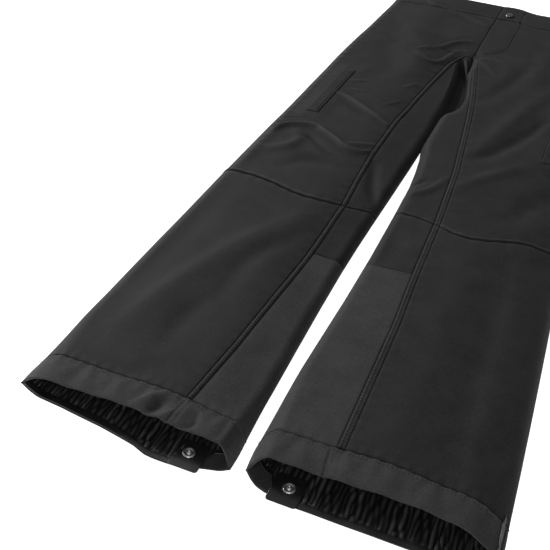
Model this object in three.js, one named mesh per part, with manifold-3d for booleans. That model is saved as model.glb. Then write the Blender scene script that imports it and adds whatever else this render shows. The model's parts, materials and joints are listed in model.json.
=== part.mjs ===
import * as THREE from 'three';
import { mergeVertices } from 'three/addons/utils/BufferGeometryUtils.js';
import Module from 'manifold-3d';

// Softshell ski pants lying on their back, front side up, on a flat surface.
// Millimetres, +Z up, +Y towards the waist, the wearer's right leg on -X. Lengths along the body are
// measured from the crotch, at Y = 0, and the finished group is moved so that the origin is under
// the middle of the garment. Each leg is an empty flat tube with a real opening at each end.

// ---- Driving dimensions of the garment ----
const INSEAM = 812; // crotch to the front edge of the hem
const FRONT_RISE = 197; // crotch to the top of the waistband in front
const BACK_RISE_EXTRA = 30; // how much further the back of the waistband reaches
const HEM_BACK_DROP = 18; // how much further the back of the hem reaches
const KNEE_DROP = 415; // crotch to the knee seam
const KICK_PATCH_DROP = 512; // crotch to the top of the kick patch
const WAIST_HALF = 180; // middle to side, waistband
const HIP_HALF = 186; // middle to side, hip
const THIGH_HALF = 196; // middle to side, crotch level
const KNEE_HALF = 222; // middle to side, knee
const HEM_HALF = 250; // middle to side, hem
const CROTCH_GAP_HALF = 6; // middle to inner edge, crotch
const THIGH_GAP_HALF = 1.5; // middle to inner edge, where the thighs touch
const CALF_GAP_HALF = 11; // middle to inner edge, calf
const HEM_GAP_HALF = 8.5; // middle to inner edge, hem
const CROTCH_SWAY = -9; // how far the crotch and waist lie to one side of the hems
const LIE_HEIGHT = 32; // top of the front cloth above the floor
const RIM_HEIGHT = 10; // where front and back cloth meet at the edges
const OUTER_ROUND = 26; // how far the front curves down at the side
const INNER_ROUND = 20; // how far the front curves down at the inner leg
const CLOTH = 2; // softshell with its membrane
const GAP = 0.3; // clearance between pieces that touch

// ---- Seams, bands and closures ----
const STRIP_WIDTH = 9; // felled princess seam
const STRIP_AT_HEM = 79; // middle to the seam's inner edge, hem
const STRIP_AT_KNEE = 57; // the same, knee
const STRIP_AT_THIGH = 43; // the same, middle of the thigh
const STRIP_AT_CROTCH = 22; // the same, crotch
const STRIP_TOP_DROP = 4; // crotch to the top end of the seam strip
const KNEE_STRIP_WIDTH = 7;
const KNEE_STRIP_OFFSET = 3; // knee seam to the strip
const TRIM = 1.2; // welts and seam strips that lie on the cloth
const HEM_BAND = 36;
const HEM_BAND_CLOTH = 3;
const WAISTBAND = 48;
const WAISTBAND_CLOTH = 2.5;
const UNDERLAP_FADE = 14; // over which the right end of the waistband drops under the tab
const UNDERLAP_SHORT = 10; // the underlap's end to the tab's hinge line

const FLAP_WIDTH = 40; // fly flap, edge to hinge line
const FLAP_EDGE = -2; // fly flap's free edge, from the middle
const FLAP_BOTTOM = 24; // crotch to the flap's lowest point
const FLAP_CURVE = 36; // height of the curved lower end, from bottom to straight edge
const FLAP_LIFT = 1; // how far the flap stands above the front cloth
const FLAP_CLOTH = 2;
const FLY_ZIP_FROM = 34; // crotch to the bottom of the fly zip
const ZIP_SHIELD_CLOTH = 1.5;

const POCKET_FROM = 230; // crotch down to the lower end of the pocket mouth
const POCKET_LENGTH = 122;
const POCKET_MIDDLE = 160; // middle to the pocket mouth
const POCKET_SLOT = 12;
const POCKET_TILT = 0.05; // radians, lower end leaning outwards
const WELT_WIDTH = 15;
const WELT_OVERRUN = 5;
const BAG_WIDTH = 92;
const BAG_DEPTH = 150;
const BAG_CLOTH = 1.6;

const TAPE_WIDTH = 12;
const TAPE_CLOTH = 0.8;
const CHAIN_WIDTH = 5;
const CHAIN_HEIGHT = 2;
const SLIDER_LENGTH = 10;
const SLIDER_PLATE = 1.6;
const SLIDER_LIP = 1.2;
const PULL_LENGTH = 20;
const PULL_WIDTH = 5;
const PULL_PLATE = 0.8;

const GAITER_TOP_DROP = 640; // crotch to the top of the snow gaiter
const GAITER_CLOTH = 1.2;
const GAITER_CLEAR = 1.5; // between the gaiter and the hem band
const GAITER_BAND = 34; // elasticated lower band
const GAITER_BAND_RECESS = 8; // hem edge to the gaiter's lower edge
const TAB_LENGTH = 31;
const TAB_DEPTH = 34;
const TAB_ROOT = 66; // middle to the tab's hinge line
const TAB_STICK_OUT = 12; // how far the tab passes the back hem edge
const TAB_SNAP_INSET = 17; // tab's free edge to the middle of its stud
const TAB_SNAP_RISE = 19; // tab's lower edge to the middle of its stud
const WAIST_SNAP_DROP = 34; // waist edge to the middle of its snap
const TAB_CLOTH = 1.5;
const SNAP_RADIUS = 6;
const SNAP_HEIGHT = 2.4;
const NUB_RADIUS = 2;
const NUB_HEIGHT = 1.3;

// ---- Levels that follow from them ----
const WAIST_Y = FRONT_RISE;
const BAND_Y = FRONT_RISE - WAISTBAND;
const KNEE_Y = -KNEE_DROP;
const HEM_Y = -INSEAM;
const HEM_BAND_Y = HEM_Y + HEM_BAND;
const PATCH_Y = -KICK_PATCH_DROP;
const THIGH_Y = -0.57 * KNEE_DROP; // where the thighs touch
const CALF_Y = KNEE_Y - 0.29 * (INSEAM - KNEE_DROP);
const FLAP_HINGE = FLAP_EDGE + FLAP_WIDTH;
const FLAP_TOP_Z = LIE_HEIGHT + FLAP_LIFT;
const FLAP_UNDER_Z = FLAP_TOP_Z - FLAP_CLOTH;

// ---- Colours ----
const SOFTSHELL = { color: 0x26262a, roughness: 0.78, metalness: 0 };
const KICK = { color: 0x303033, roughness: 0.85, metalness: 0 };
const TRIM_TAPE = { color: 0x1d1d20, roughness: 0.7, metalness: 0 };
const GAITER = { color: 0x0d0d0f, roughness: 0.42, metalness: 0 };
const LINING = { color: 0x19191b, roughness: 0.8, metalness: 0 };
const ZIP = { color: 0x131315, roughness: 0.5, metalness: 0 };
const GUNMETAL = { color: 0x3c3d41, roughness: 0.35, metalness: 1 };
const BRIGHT = { color: 0xc9cacc, roughness: 0.25, metalness: 1 };

const wasm = await Module();
wasm.setup();

const pants = new THREE.Group();
const LEGS = [{ side: 'right', hand: -1 }, { side: 'left', hand: 1 }];

function addPart(name, geometry, finish) {
  const mesh = new THREE.Mesh(geometry, new THREE.MeshStandardMaterial(finish));
  mesh.name = name;
  pants.add(mesh);
  return mesh;
}

// ---- The lying garment's shape ----

const smooth = (t) => THREE.MathUtils.smoothstep(t, 0, 1);

// A smooth curve through [y, value] stations, given from the hem up.
function curveThrough(stations) {
  const heights = stations.map((station) => station[0]);
  const values = stations.map((station) => station[1]);
  const curve = new THREE.CubicInterpolant(heights, values, 1);
  return (y) => curve.evaluate(THREE.MathUtils.clamp(y, heights[0], heights.at(-1)))[0];
}

const outerEdge = curveThrough([
  [HEM_Y, HEM_HALF], [KNEE_Y, KNEE_HALF], [THIGH_Y, 0.5 * (KNEE_HALF + THIGH_HALF)],
  [0, THIGH_HALF], [0.5 * FRONT_RISE, HIP_HALF], [WAIST_Y, WAIST_HALF],
]);
const legGap = curveThrough([
  [HEM_Y, HEM_GAP_HALF], [CALF_Y, CALF_GAP_HALF], [THIGH_Y, THIGH_GAP_HALF], [0, CROTCH_GAP_HALF],
]);
const stripEdge = curveThrough([
  [HEM_Y, STRIP_AT_HEM], [KNEE_Y, STRIP_AT_KNEE], [THIGH_Y, STRIP_AT_THIGH], [0, STRIP_AT_CROTCH],
]);
const sway = (y) => CROTCH_SWAY * smooth((y - HEM_Y) / (THIGH_Y - HEM_Y));
const innerEdge = (y) => (y < 0 ? legGap(y) : -outerEdge(y));
const innerRound = (y) => Math.min(INNER_ROUND, 0.8 * (stripEdge(y) - legGap(y)));

// The back of the garment reaches further than the front at the waist and at the hem.
function slantedY(y, z) {
  const waistShare = BACK_RISE_EXTRA * smooth(y / WAIST_Y);
  const hemShare = HEM_BACK_DROP * smooth((KNEE_Y - y) / (INSEAM - KNEE_DROP));
  return y + (1 - z / LIE_HEIGHT) * (waistShare - hemShare);
}

// One point of the cloth: x across the leg, y along it, depth under the outer surface, and layer
// +1 for the front or -1 for the back. Both edges are rounded down to the rim where the two meet.
function clothPoint(hand, x, y, depth, layer) {
  const outerStart = outerEdge(y) - OUTER_ROUND;
  const round = innerRound(y);
  const innerStart = innerEdge(y) + round;
  let across = x;
  let lift = 1;
  if (x > outerStart) {
    lift = Math.sqrt(Math.max(0, 1 - ((x - outerStart) / OUTER_ROUND) ** 2));
    across = outerStart + ((x - outerStart) * (OUTER_ROUND - depth)) / OUTER_ROUND;
  } else if (y < 0 && x < innerStart) {
    lift = Math.sqrt(Math.max(0, 1 - ((innerStart - x) / round) ** 2));
    across = innerStart - ((innerStart - x) * (round - depth)) / round;
  }
  const reach = (layer > 0 ? LIE_HEIGHT - RIM_HEIGHT : RIM_HEIGHT - GAP) - depth;
  const base = layer > 0 ? RIM_HEIGHT : RIM_HEIGHT - GAP;
  const z = base + layer * reach * lift;
  return new THREE.Vector3(hand * across + sway(y), slantedY(y, z), z);
}

// ---- Closed shells ----

function closedGeometry(points, triangles) {
  const geometry = new THREE.BufferGeometry();
  geometry.setAttribute('position', new THREE.Float32BufferAttribute(points.flatMap((p) => [...p]), 3));
  const volume = triangles.reduce((sum, [a, b, c]) => (
    sum + points[a].dot(new THREE.Vector3().crossVectors(points[b], points[c]))), 0);
  geometry.setIndex(triangles.flatMap(([a, b, c]) => (volume < 0 ? [a, c, b] : [a, b, c])));
  geometry.computeVertexNormals();
  return geometry;
}

// A closed shell between two equal grids of points. A ring joins its last column to its first.
function shell(outside, inside, ring = false) {
  const rows = outside.length;
  const columns = outside[0].length;
  const points = [...outside.flat(), ...inside.flat()];
  const at = (layer, row, column) => layer * rows * columns + row * columns + (column % columns);
  const triangles = [];
  const quad = (a, b, c, d) => triangles.push([a, b, c], [a, c, d]);
  const lastColumn = ring ? columns : columns - 1;
  for (let row = 0; row < rows - 1; row += 1) {
    for (let column = 0; column < lastColumn; column += 1) {
      quad(at(0, row, column), at(0, row, column + 1), at(0, row + 1, column + 1), at(0, row + 1, column));
      quad(at(1, row, column), at(1, row + 1, column), at(1, row + 1, column + 1), at(1, row, column + 1));
    }
    if (!ring) {
      quad(at(0, row, 0), at(0, row + 1, 0), at(1, row + 1, 0), at(1, row, 0));
      const edge = columns - 1;
      quad(at(0, row, edge), at(1, row, edge), at(1, row + 1, edge), at(0, row + 1, edge));
    }
  }
  for (let column = 0; column < lastColumn; column += 1) {
    quad(at(0, 0, column), at(1, 0, column), at(1, 0, column + 1), at(0, 0, column + 1));
    const top = rows - 1;
    quad(at(0, top, column), at(0, top, column + 1), at(1, top, column + 1), at(1, top, column));
  }
  return closedGeometry(points, triangles);
}

const steps = (from, to, count) => (
  Array.from({ length: count + 1 }, (unused, i) => from + ((to - from) * i) / count));

// The x places of a panel's columns at one level: even across the flat, and closer round the edges.
function columnsAcross(y, from, to, roundInner, roundOuter) {
  const innerStart = roundInner ? innerEdge(y) + innerRound(y) : from(y);
  const outerStart = roundOuter ? outerEdge(y) - OUTER_ROUND : to(y);
  const inner = roundInner ? steps(0, 0.5 * Math.PI, 4).slice(0, -1).map((turn) => (
    innerStart - innerRound(y) * Math.cos(turn))) : [];
  const outer = roundOuter ? steps(0, 0.5 * Math.PI, 4).slice(1).map((turn) => (
    outerStart + OUTER_ROUND * Math.sin(turn))) : [];
  return [...inner, ...steps(innerStart, outerStart, 3), ...outer];
}

function panel({ hand, levels, from, to, layer = 1, roundInner = false, roundOuter = false,
  depth = 0, thickness = CLOTH }) {
  const grid = (under) => levels.map((y) => (
    columnsAcross(y, from, to, roundInner, roundOuter).map((x) => clothPoint(hand, x, y, under, layer))));
  return shell(grid(depth), grid(depth + thickness));
}

// A tube all round one leg, its depth under the outer surface given at each level.
function sleeve(hand, levels, depthAt, thickness) {
  const loop = (y, under) => {
    const xs = columnsAcross(y, legGap, outerEdge, true, true);
    const front = xs.map((x) => clothPoint(hand, x, y, under, 1));
    const back = xs.slice(1, -1).reverse().map((x) => clothPoint(hand, x, y, under, -1));
    return [...front, ...back];
  };
  const grid = (extra) => levels.map((y) => loop(y, depthAt(y) + extra));
  return shell(grid(0), grid(thickness), true);
}

// ---- Flat pieces, cut and turned ones ----

// A plate with the given outline, its underside at the given height.
function plate(shape, underside, thickness, curveSegments = 6) {
  const geometry = new THREE.ExtrudeGeometry(shape, { depth: thickness, bevelEnabled: false, curveSegments });
  geometry.translate(0, 0, underside);
  return geometry;
}

function roundedRectangle(left, right, bottom, top, radius) {
  const shape = new THREE.Shape();
  shape.moveTo(left + radius, bottom);
  shape.lineTo(right - radius, bottom);
  shape.absarc(right - radius, bottom + radius, radius, -0.5 * Math.PI, 0);
  shape.lineTo(right, top - radius);
  shape.absarc(right - radius, top - radius, radius, 0, 0.5 * Math.PI);
  shape.lineTo(left + radius, top);
  shape.absarc(left + radius, top - radius, radius, 0.5 * Math.PI, Math.PI);
  shape.lineTo(left, bottom + radius);
  shape.absarc(left + radius, bottom + radius, radius, Math.PI, 1.5 * Math.PI);
  return shape;
}

function rectangle(left, right, bottom, top) {
  const corners = [[left, bottom], [right, bottom], [right, top], [left, top]];
  return new THREE.Shape(corners.map(([x, y]) => new THREE.Vector2(x, y)));
}

function toSolid(geometry) {
  const bare = geometry.index ? geometry.toNonIndexed() : geometry.clone();
  bare.deleteAttribute('normal');
  bare.deleteAttribute('uv');
  const merged = mergeVertices(bare, 1e-4);
  return new wasm.Manifold(new wasm.Mesh({
    numProp: 3,
    vertProperties: new Float32Array(merged.attributes.position.array),
    triVerts: new Uint32Array(merged.index.array),
  }));
}

function fromSolid(solid) {
  const mesh = solid.getMesh();
  const geometry = new THREE.BufferGeometry();
  geometry.setAttribute('position', new THREE.BufferAttribute(new Float32Array(mesh.vertProperties), 3));
  geometry.setIndex(new THREE.BufferAttribute(new Uint32Array(mesh.triVerts), 1));
  geometry.computeVertexNormals();
  return geometry;
}

// A round piece from its profile of [radius, height] points, standing along +Z.
function turned(profile, x, y, z) {
  const outline = profile.map(([radius, height]) => new THREE.Vector2(radius, height));
  const geometry = new THREE.LatheGeometry(outline, 24);
  geometry.rotateX(0.5 * Math.PI);
  geometry.translate(x, y, z);
  return fromSolid(toSolid(geometry));
}

// ---- Front and back cloth ----

const stripOuterEdge = (y) => stripEdge(y) + STRIP_WIDTH;
const THIGH_LEVELS = steps(KNEE_Y + 0.5 * GAP, -STRIP_TOP_DROP + 2 * GAP, 6);
const SHIN_LEVELS = steps(HEM_BAND_Y + GAP, KNEE_Y - 0.5 * GAP, 6);
const LEG_SEAM_LEVELS = steps(KNEE_Y + 0.5 * GAP, -STRIP_TOP_DROP, 6);

const FLAP_LEVELS = steps(0, 1, 5).map((t) => FLAP_BOTTOM + FLAP_CURVE * t * t);

// The flap's lower end is a quarter of an ellipse, from its free edge up to the hinge line.
function flapOutline(y) {
  const drop = Math.max(0, (FLAP_BOTTOM + FLAP_CURVE - y) / FLAP_CURVE);
  return FLAP_EDGE + FLAP_WIDTH * Math.sqrt(Math.max(0, 1 - drop * drop));
}

// Where a front panel ends towards the middle: the seam strip below the crotch, then the centre
// seam, then on the left the flap's outline.
function frontInnerBorder(side) {
  return (y) => {
    if (y < 0) return stripOuterEdge(y) + GAP;
    if (side === 'right') return -FLAP_EDGE + 0.5 * GAP;
    return (y < FLAP_BOTTOM ? FLAP_EDGE + 0.5 * GAP : flapOutline(y) + GAP);
  };
}

function pocketShape(width, overrun) {
  const half = 0.5 * width;
  const radius = Math.min(2, 0.4 * width);
  return roundedRectangle(-half, half, -overrun, POCKET_LENGTH + overrun, radius);
}

// Puts a piece drawn along the pocket mouth, from its lower end, onto the thigh.
function placeAtPocket(geometry, hand) {
  geometry.rotateZ(hand * POCKET_TILT);
  geometry.translate(hand * POCKET_MIDDLE + sway(-POCKET_FROM), -POCKET_FROM, 0);
  return geometry;
}

function frontThighPanel({ side, hand }) {
  const above = [STRIP_TOP_DROP, ...FLAP_LEVELS, BAND_Y - GAP];
  const whole = panel({
    hand, levels: [...THIGH_LEVELS, ...above], from: frontInnerBorder(side), to: outerEdge, roundOuter: true,
  });
  const cutter = plate(pocketShape(POCKET_SLOT, 0), RIM_HEIGHT, LIE_HEIGHT);
  return fromSolid(toSolid(whole).subtract(toSolid(placeAtPocket(cutter, hand))));
}

function buildCloth(leg) {
  const { side, hand } = leg;
  const toStrip = (y) => stripEdge(y) - GAP;
  const patchTop = PATCH_Y - 0.5 * GAP;
  const innerPanel = (levels) => panel({ hand, levels, from: legGap, to: toStrip, roundInner: true });
  const strip = (levels) => panel({ hand, levels, from: stripEdge, to: stripOuterEdge });
  addPart(`front_thigh_panel_${side}`, frontThighPanel(leg), SOFTSHELL);
  addPart(`inner_thigh_gusset_${side}`, innerPanel(LEG_SEAM_LEVELS), SOFTSHELL);
  addPart(`princess_seam_strip_thigh_${side}`, strip(LEG_SEAM_LEVELS), TRIM_TAPE);
  addPart(`front_shin_panel_${side}`, panel({
    hand, levels: SHIN_LEVELS, from: (y) => stripOuterEdge(y) + GAP, to: outerEdge, roundOuter: true,
  }), SOFTSHELL);
  addPart(`inner_shin_panel_${side}`, innerPanel(steps(patchTop + GAP, KNEE_Y - 0.5 * GAP, 2)), SOFTSHELL);
  addPart(`kick_patch_${side}`, innerPanel(steps(HEM_BAND_Y + GAP, patchTop, 4)), KICK);
  addPart(`princess_seam_strip_shin_${side}`, strip(SHIN_LEVELS), TRIM_TAPE);
  addPart(`back_shin_panel_${side}`, panel({
    hand, levels: SHIN_LEVELS, from: legGap, to: outerEdge, layer: -1, roundInner: true, roundOuter: true,
  }), SOFTSHELL);
  addPart(`back_thigh_panel_${side}`, backThighPanel(hand), SOFTSHELL);
  addPart(`knee_seam_strip_${side}`, kneeStrip(hand), TRIM_TAPE);
  addPart(`hem_band_${side}`, sleeve(hand, steps(HEM_Y, HEM_BAND_Y, 2), () => 0, HEM_BAND_CLOTH), KICK);
}

// The back cloth of one thigh, with its half of the seat, which meets the other at the middle.
function backThighPanel(hand) {
  const levels = [...THIGH_LEVELS, STRIP_TOP_DROP, 0.5 * BAND_Y, BAND_Y - GAP];
  const seatSeam = (y) => (y < 0 ? legGap(y) : 0.5 * GAP);
  const grid = (under) => levels.map((y) => {
    const innerStart = y < 0 ? legGap(y) + innerRound(y) : 0.5 * GAP + INNER_ROUND;
    const rounded = steps(0, 0.5 * Math.PI, 4).slice(0, -1).map((turn) => (
      innerStart - (innerStart - seatSeam(y)) * Math.cos(turn)));
    const rest = columnsAcross(y, () => innerStart, outerEdge, false, true);
    return [...rounded, ...rest].map((x) => clothPoint(hand, x, y, under, -1));
  });
  return shell(grid(0), grid(CLOTH));
}

function kneeStrip(hand) {
  const bottom = KNEE_Y + KNEE_STRIP_OFFSET;
  const y = bottom + 0.5 * KNEE_STRIP_WIDTH;
  const ends = [legGap(y) + innerRound(y), outerEdge(y) - OUTER_ROUND].map((x) => hand * x + sway(y));
  const shape = rectangle(Math.min(...ends), Math.max(...ends), bottom, bottom + KNEE_STRIP_WIDTH);
  return plate(shape, LIE_HEIGHT + GAP, TRIM);
}

LEGS.forEach(buildCloth);

// ---- Waistband ----

const WAISTBAND_LEVELS = steps(BAND_Y, WAIST_Y, 2);
const SNAP_Y = WAIST_Y - WAIST_SNAP_DROP;
const SNAP_X = FLAP_EDGE + 0.42 * FLAP_WIDTH;
const TAB_UNDER_Z = FLAP_TOP_Z - WAISTBAND_CLOTH;
const UNDERLAP_Z = TAB_UNDER_Z - SNAP_HEIGHT - 2 * GAP - 1; // top of the cloth under the snap

addPart('waistband_front_left', panel({
  hand: 1, levels: WAISTBAND_LEVELS, from: () => FLAP_HINGE + GAP, to: outerEdge,
  roundOuter: true, thickness: WAISTBAND_CLOTH,
}), SOFTSHELL);

// The right end of the waistband drops and runs on under the tab, where it carries the snap's stud.
function rightWaistband() {
  const fadeStart = -FLAP_EDGE + UNDERLAP_FADE;
  const dropAt = (x) => (LIE_HEIGHT - UNDERLAP_Z) * smooth((fadeStart - x) / (UNDERLAP_FADE - 4));
  const across = (y) => [
    ...steps(UNDERLAP_SHORT - FLAP_HINGE, 4 - FLAP_EDGE, 2), ...steps(4 - FLAP_EDGE, fadeStart, 3).slice(1),
    ...columnsAcross(y, () => -FLAP_EDGE + UNDERLAP_FADE + 10, outerEdge, false, true),
  ];
  const grid = (depth) => WAISTBAND_LEVELS.map((y) => across(y).map((x) => {
    const point = clothPoint(-1, x, y, depth, 1);
    point.z -= dropAt(x);
    point.y = slantedY(y, point.z);
    return point;
  }));
  return shell(grid(0), grid(WAISTBAND_CLOTH));
}
addPart('waistband_front_right', rightWaistband(), SOFTSHELL);

function backWaistband() {
  const across = (y) => {
    const half = columnsAcross(y, () => 0, outerEdge, false, true);
    return [...half.slice(1).reverse().map((x) => [-1, x]), ...half.map((x) => [1, x])];
  };
  const grid = (depth) => WAISTBAND_LEVELS.map((y) => (
    across(y).map(([hand, x]) => clothPoint(hand, x, y, depth, -1))));
  return shell(grid(0), grid(WAISTBAND_CLOTH));
}
addPart('waistband_back', backWaistband(), SOFTSHELL);

// ---- Fly: flap and waistband tab on one hinge line, with the zip under them ----

const flyMiddle = sway(0); // the fly stands on the swayed centre line
const flyX = (x) => x + flyMiddle;

function flapShape() {
  const curve = FLAP_LEVELS.slice(1).map((y) => new THREE.Vector2(flyX(flapOutline(y)), y));
  const freeEdge = flyX(FLAP_EDGE) + GAP;
  const top = BAND_Y - 0.5 * GAP;
  return new THREE.Shape([
    new THREE.Vector2(freeEdge, FLAP_LEVELS[0] + GAP), ...curve,
    new THREE.Vector2(flyX(FLAP_HINGE), top), new THREE.Vector2(freeEdge, top),
  ]);
}
addPart('fly_flap', plate(flapShape(), FLAP_UNDER_Z, FLAP_CLOTH), SOFTSHELL);
addPart('waistband_tab', plate(
  roundedRectangle(flyX(FLAP_EDGE) + GAP, flyX(FLAP_HINGE), BAND_Y + 0.5 * GAP, WAIST_Y, 2),
  TAB_UNDER_Z, WAISTBAND_CLOTH, 3,
), SOFTSHELL);

const SLIDER_TOP_Z = FLAP_UNDER_Z - GAP - PULL_PLATE - 2 * GAP;
const CHAIN_TOP_Z = SLIDER_TOP_Z - SLIDER_PLATE - GAP;
const TAPE_TOP_Z = CHAIN_TOP_Z - 0.5 * (CHAIN_HEIGHT - TAPE_CLOTH);
const SHIELD_TOP_Z = CHAIN_TOP_Z - CHAIN_HEIGHT - GAP;
const FLY_ZIP_X = flyX(FLAP_EDGE + 0.5 * FLAP_WIDTH - 2);
const FLY_ZIP_TO = BAND_Y - 4;

// The shield hangs under the right front cloth and dips below the zip.
function flyShield() {
  const attachZ = LIE_HEIGHT - CLOTH - GAP;
  const left = flyX(FLAP_EDGE) - 24;
  const across = [left, ...steps(left + 8, left + 20, 4), flyX(FLAP_HINGE) - 4];
  const zAt = (x) => attachZ - (attachZ - SHIELD_TOP_Z) * smooth((x - left - 8) / 12);
  const grid = (depth) => [FLY_ZIP_FROM - 6, BAND_Y - 2].map((y) => (
    across.map((x) => new THREE.Vector3(x, y, zAt(x) - depth))));
  return shell(grid(0), grid(ZIP_SHIELD_CLOTH));
}
addPart('fly_zip_shield', flyShield(), LINING);

// One zip, drawn along +Y from its lower end at the origin, with the chain's top at height zero.
function tapeOf(sideSign, length, width) {
  const inner = 0.5 * CHAIN_WIDTH + GAP;
  const edges = [sideSign * inner, sideSign * (inner + width)];
  const top = -0.5 * (CHAIN_HEIGHT - TAPE_CLOTH);
  return plate(rectangle(Math.min(...edges), Math.max(...edges), 0, length), top - TAPE_CLOTH, TAPE_CLOTH);
}

function chainOf(from, length) {
  const half = 0.5 * CHAIN_WIDTH;
  return plate(rectangle(-half, half, from, length), -CHAIN_HEIGHT, CHAIN_HEIGHT);
}

// The slider's upper plate and its two lips, which run down beside the chain.
function sliderOf(y) {
  const lipInner = 0.5 * CHAIN_WIDTH + GAP;
  const lipOuter = lipInner + SLIDER_LIP;
  const lipDrop = 0.5 * (CHAIN_HEIGHT - TAPE_CLOTH) - GAP;
  const section = new THREE.Shape([
    [-lipOuter, -lipDrop], [-lipInner, -lipDrop], [-lipInner, GAP], [lipInner, GAP], [lipInner, -lipDrop],
    [lipOuter, -lipDrop], [lipOuter, GAP + SLIDER_PLATE - 0.4], [lipOuter - 0.8, GAP + SLIDER_PLATE],
    [0.8 - lipOuter, GAP + SLIDER_PLATE], [-lipOuter, GAP + SLIDER_PLATE - 0.4],
  ].map(([x, z]) => new THREE.Vector2(x, z)));
  const geometry = new THREE.ExtrudeGeometry(section, { depth: SLIDER_LENGTH, bevelEnabled: false });
  geometry.rotateX(0.5 * Math.PI);
  geometry.translate(0, y + SLIDER_LENGTH, 0);
  return geometry;
}

// A flat pull lying over the chain, just below the slider.
function pullOf(sliderY, underside) {
  const half = 0.5 * PULL_WIDTH;
  const top = sliderY - GAP;
  const shape = roundedRectangle(-half, half, top - PULL_LENGTH, top, 1.5);
  const eye = new THREE.Path();
  eye.absellipse(0, top - PULL_LENGTH + 4, 1.2, 2, 0, 2 * Math.PI, true);
  shape.holes.push(eye);
  return plate(shape, underside, PULL_PLATE);
}

function placeFly(geometry) {
  geometry.translate(FLY_ZIP_X, FLY_ZIP_FROM, CHAIN_TOP_Z);
  return geometry;
}

const FLY_ZIP_LENGTH = FLY_ZIP_TO - FLY_ZIP_FROM;
const STOP_LENGTH = 4;
const flySliderY = FLY_ZIP_LENGTH - SLIDER_LENGTH - 1;
addPart('fly_zip_tape_right', placeFly(tapeOf(-1, FLY_ZIP_LENGTH, TAPE_WIDTH)), LINING);
addPart('fly_zip_tape_left', placeFly(tapeOf(1, FLY_ZIP_LENGTH, TAPE_WIDTH)), LINING);
addPart('fly_zip_chain', placeFly(chainOf(STOP_LENGTH + GAP, FLY_ZIP_LENGTH)), ZIP);
addPart('fly_zip_bottom_stop', placeFly(chainOf(0, STOP_LENGTH)), GUNMETAL);
addPart('fly_zip_slider', placeFly(sliderOf(flySliderY)), GUNMETAL);
addPart('fly_zip_pull', placeFly(pullOf(flySliderY, GAP)), GUNMETAL);

// ---- Press snaps ----

const NUB_CLEAR = 0.5;

// A cap with a rolled edge and a shallow dish.
const capProfile = (radius, height) => [
  [0, 0], [radius, 0], [radius, 0.55 * height], [0.86 * radius, height], [0.6 * radius, 0.9 * height],
  [0.5 * radius, 0.7 * height], [0, 0.7 * height],
];
// A ring that the stud's nub enters from below.
const socketProfile = (radius, height) => [
  [NUB_RADIUS + NUB_CLEAR, 0], [radius, 0.2 * height], [radius, height], [NUB_RADIUS + NUB_CLEAR, height],
  [NUB_RADIUS + NUB_CLEAR, 0],
];
// A flat ring with a raised nub.
const studProfile = (radius, base) => [
  [0, 0], [radius, 0], [radius, 0.6 * base], [0.8 * radius, base], [NUB_RADIUS + 1, base],
  [NUB_RADIUS, base], [NUB_RADIUS, base + NUB_HEIGHT], [0, base + NUB_HEIGHT],
];
// A gaiter's ring stud: a rolled rim, a valley and a hollow post.
const ringStudProfile = (radius, height) => [
  [0, 0], [radius, 0], [radius, 0.6 * height], [0.85 * radius, 0.8 * height], [0.6 * radius, 0.45 * height],
  [0.5 * radius, 0.45 * height], [0.44 * radius, height], [0.24 * radius, height],
  [0.2 * radius, 0.3 * height], [0, 0.3 * height],
];

const SOCKET_HEIGHT = 1.8;
const STUD_BASE = 0.9;
addPart('waist_snap_cap', turned(
  capProfile(SNAP_RADIUS, 1.8), flyX(SNAP_X), SNAP_Y, FLAP_TOP_Z + GAP,
), GUNMETAL);
addPart('waist_snap_socket', turned(
  socketProfile(SNAP_RADIUS - 0.8, SOCKET_HEIGHT), flyX(SNAP_X), SNAP_Y, TAB_UNDER_Z - GAP - SOCKET_HEIGHT,
), GUNMETAL);
addPart('waist_snap_stud', turned(
  studProfile(SNAP_RADIUS - 0.8, STUD_BASE), flyX(SNAP_X), SNAP_Y, UNDERLAP_Z + GAP,
), GUNMETAL);

// ---- Thigh pockets ----

const POCKET_CHAIN_Z = LIE_HEIGHT - GAP - SLIDER_PLATE - GAP;
const pocketSliderY = POCKET_LENGTH - SLIDER_LENGTH - 2;

function buildPocket({ side, hand }) {
  const raise = (geometry) => {
    geometry.translate(0, 0, POCKET_CHAIN_Z);
    return placeAtPocket(geometry, hand);
  };
  const welt = plate(pocketShape(WELT_WIDTH, WELT_OVERRUN), LIE_HEIGHT + GAP, TRIM, 3);
  const tapeHalf = 0.5 * POCKET_SLOT + 3;
  const tapeTop = -CHAIN_HEIGHT - GAP;
  const tape = plate(rectangle(-tapeHalf, tapeHalf, 0, POCKET_LENGTH), tapeTop - TAPE_CLOTH, TAPE_CLOTH);
  const bagTop = POCKET_CHAIN_Z + tapeTop - TAPE_CLOTH - GAP;
  const bagEdges = [hand * (0.5 * POCKET_SLOT + 2), -hand * (BAG_WIDTH - 0.5 * POCKET_SLOT)];
  const bagShape = roundedRectangle(
    Math.min(...bagEdges), Math.max(...bagEdges), POCKET_LENGTH - BAG_DEPTH, POCKET_LENGTH + 4, 12,
  );
  addPart(`pocket_welt_${side}`, placeAtPocket(welt, hand), SOFTSHELL);
  addPart(`pocket_zip_tape_${side}`, raise(tape), LINING);
  addPart(`pocket_zip_chain_${side}`, raise(chainOf(1, POCKET_LENGTH - 1)), ZIP);
  addPart(`pocket_zip_slider_${side}`, raise(sliderOf(pocketSliderY)), GUNMETAL);
  addPart(`pocket_zip_pull_${side}`, raise(pullOf(pocketSliderY, GAP)), GUNMETAL);
  const bag = plate(bagShape, bagTop - BAG_CLOTH, BAG_CLOTH, 3);
  addPart(`pocket_bag_${side}`, placeAtPocket(bag, hand), LINING);
}
LEGS.forEach(buildPocket);

// ---- Snow gaiters ----

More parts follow.
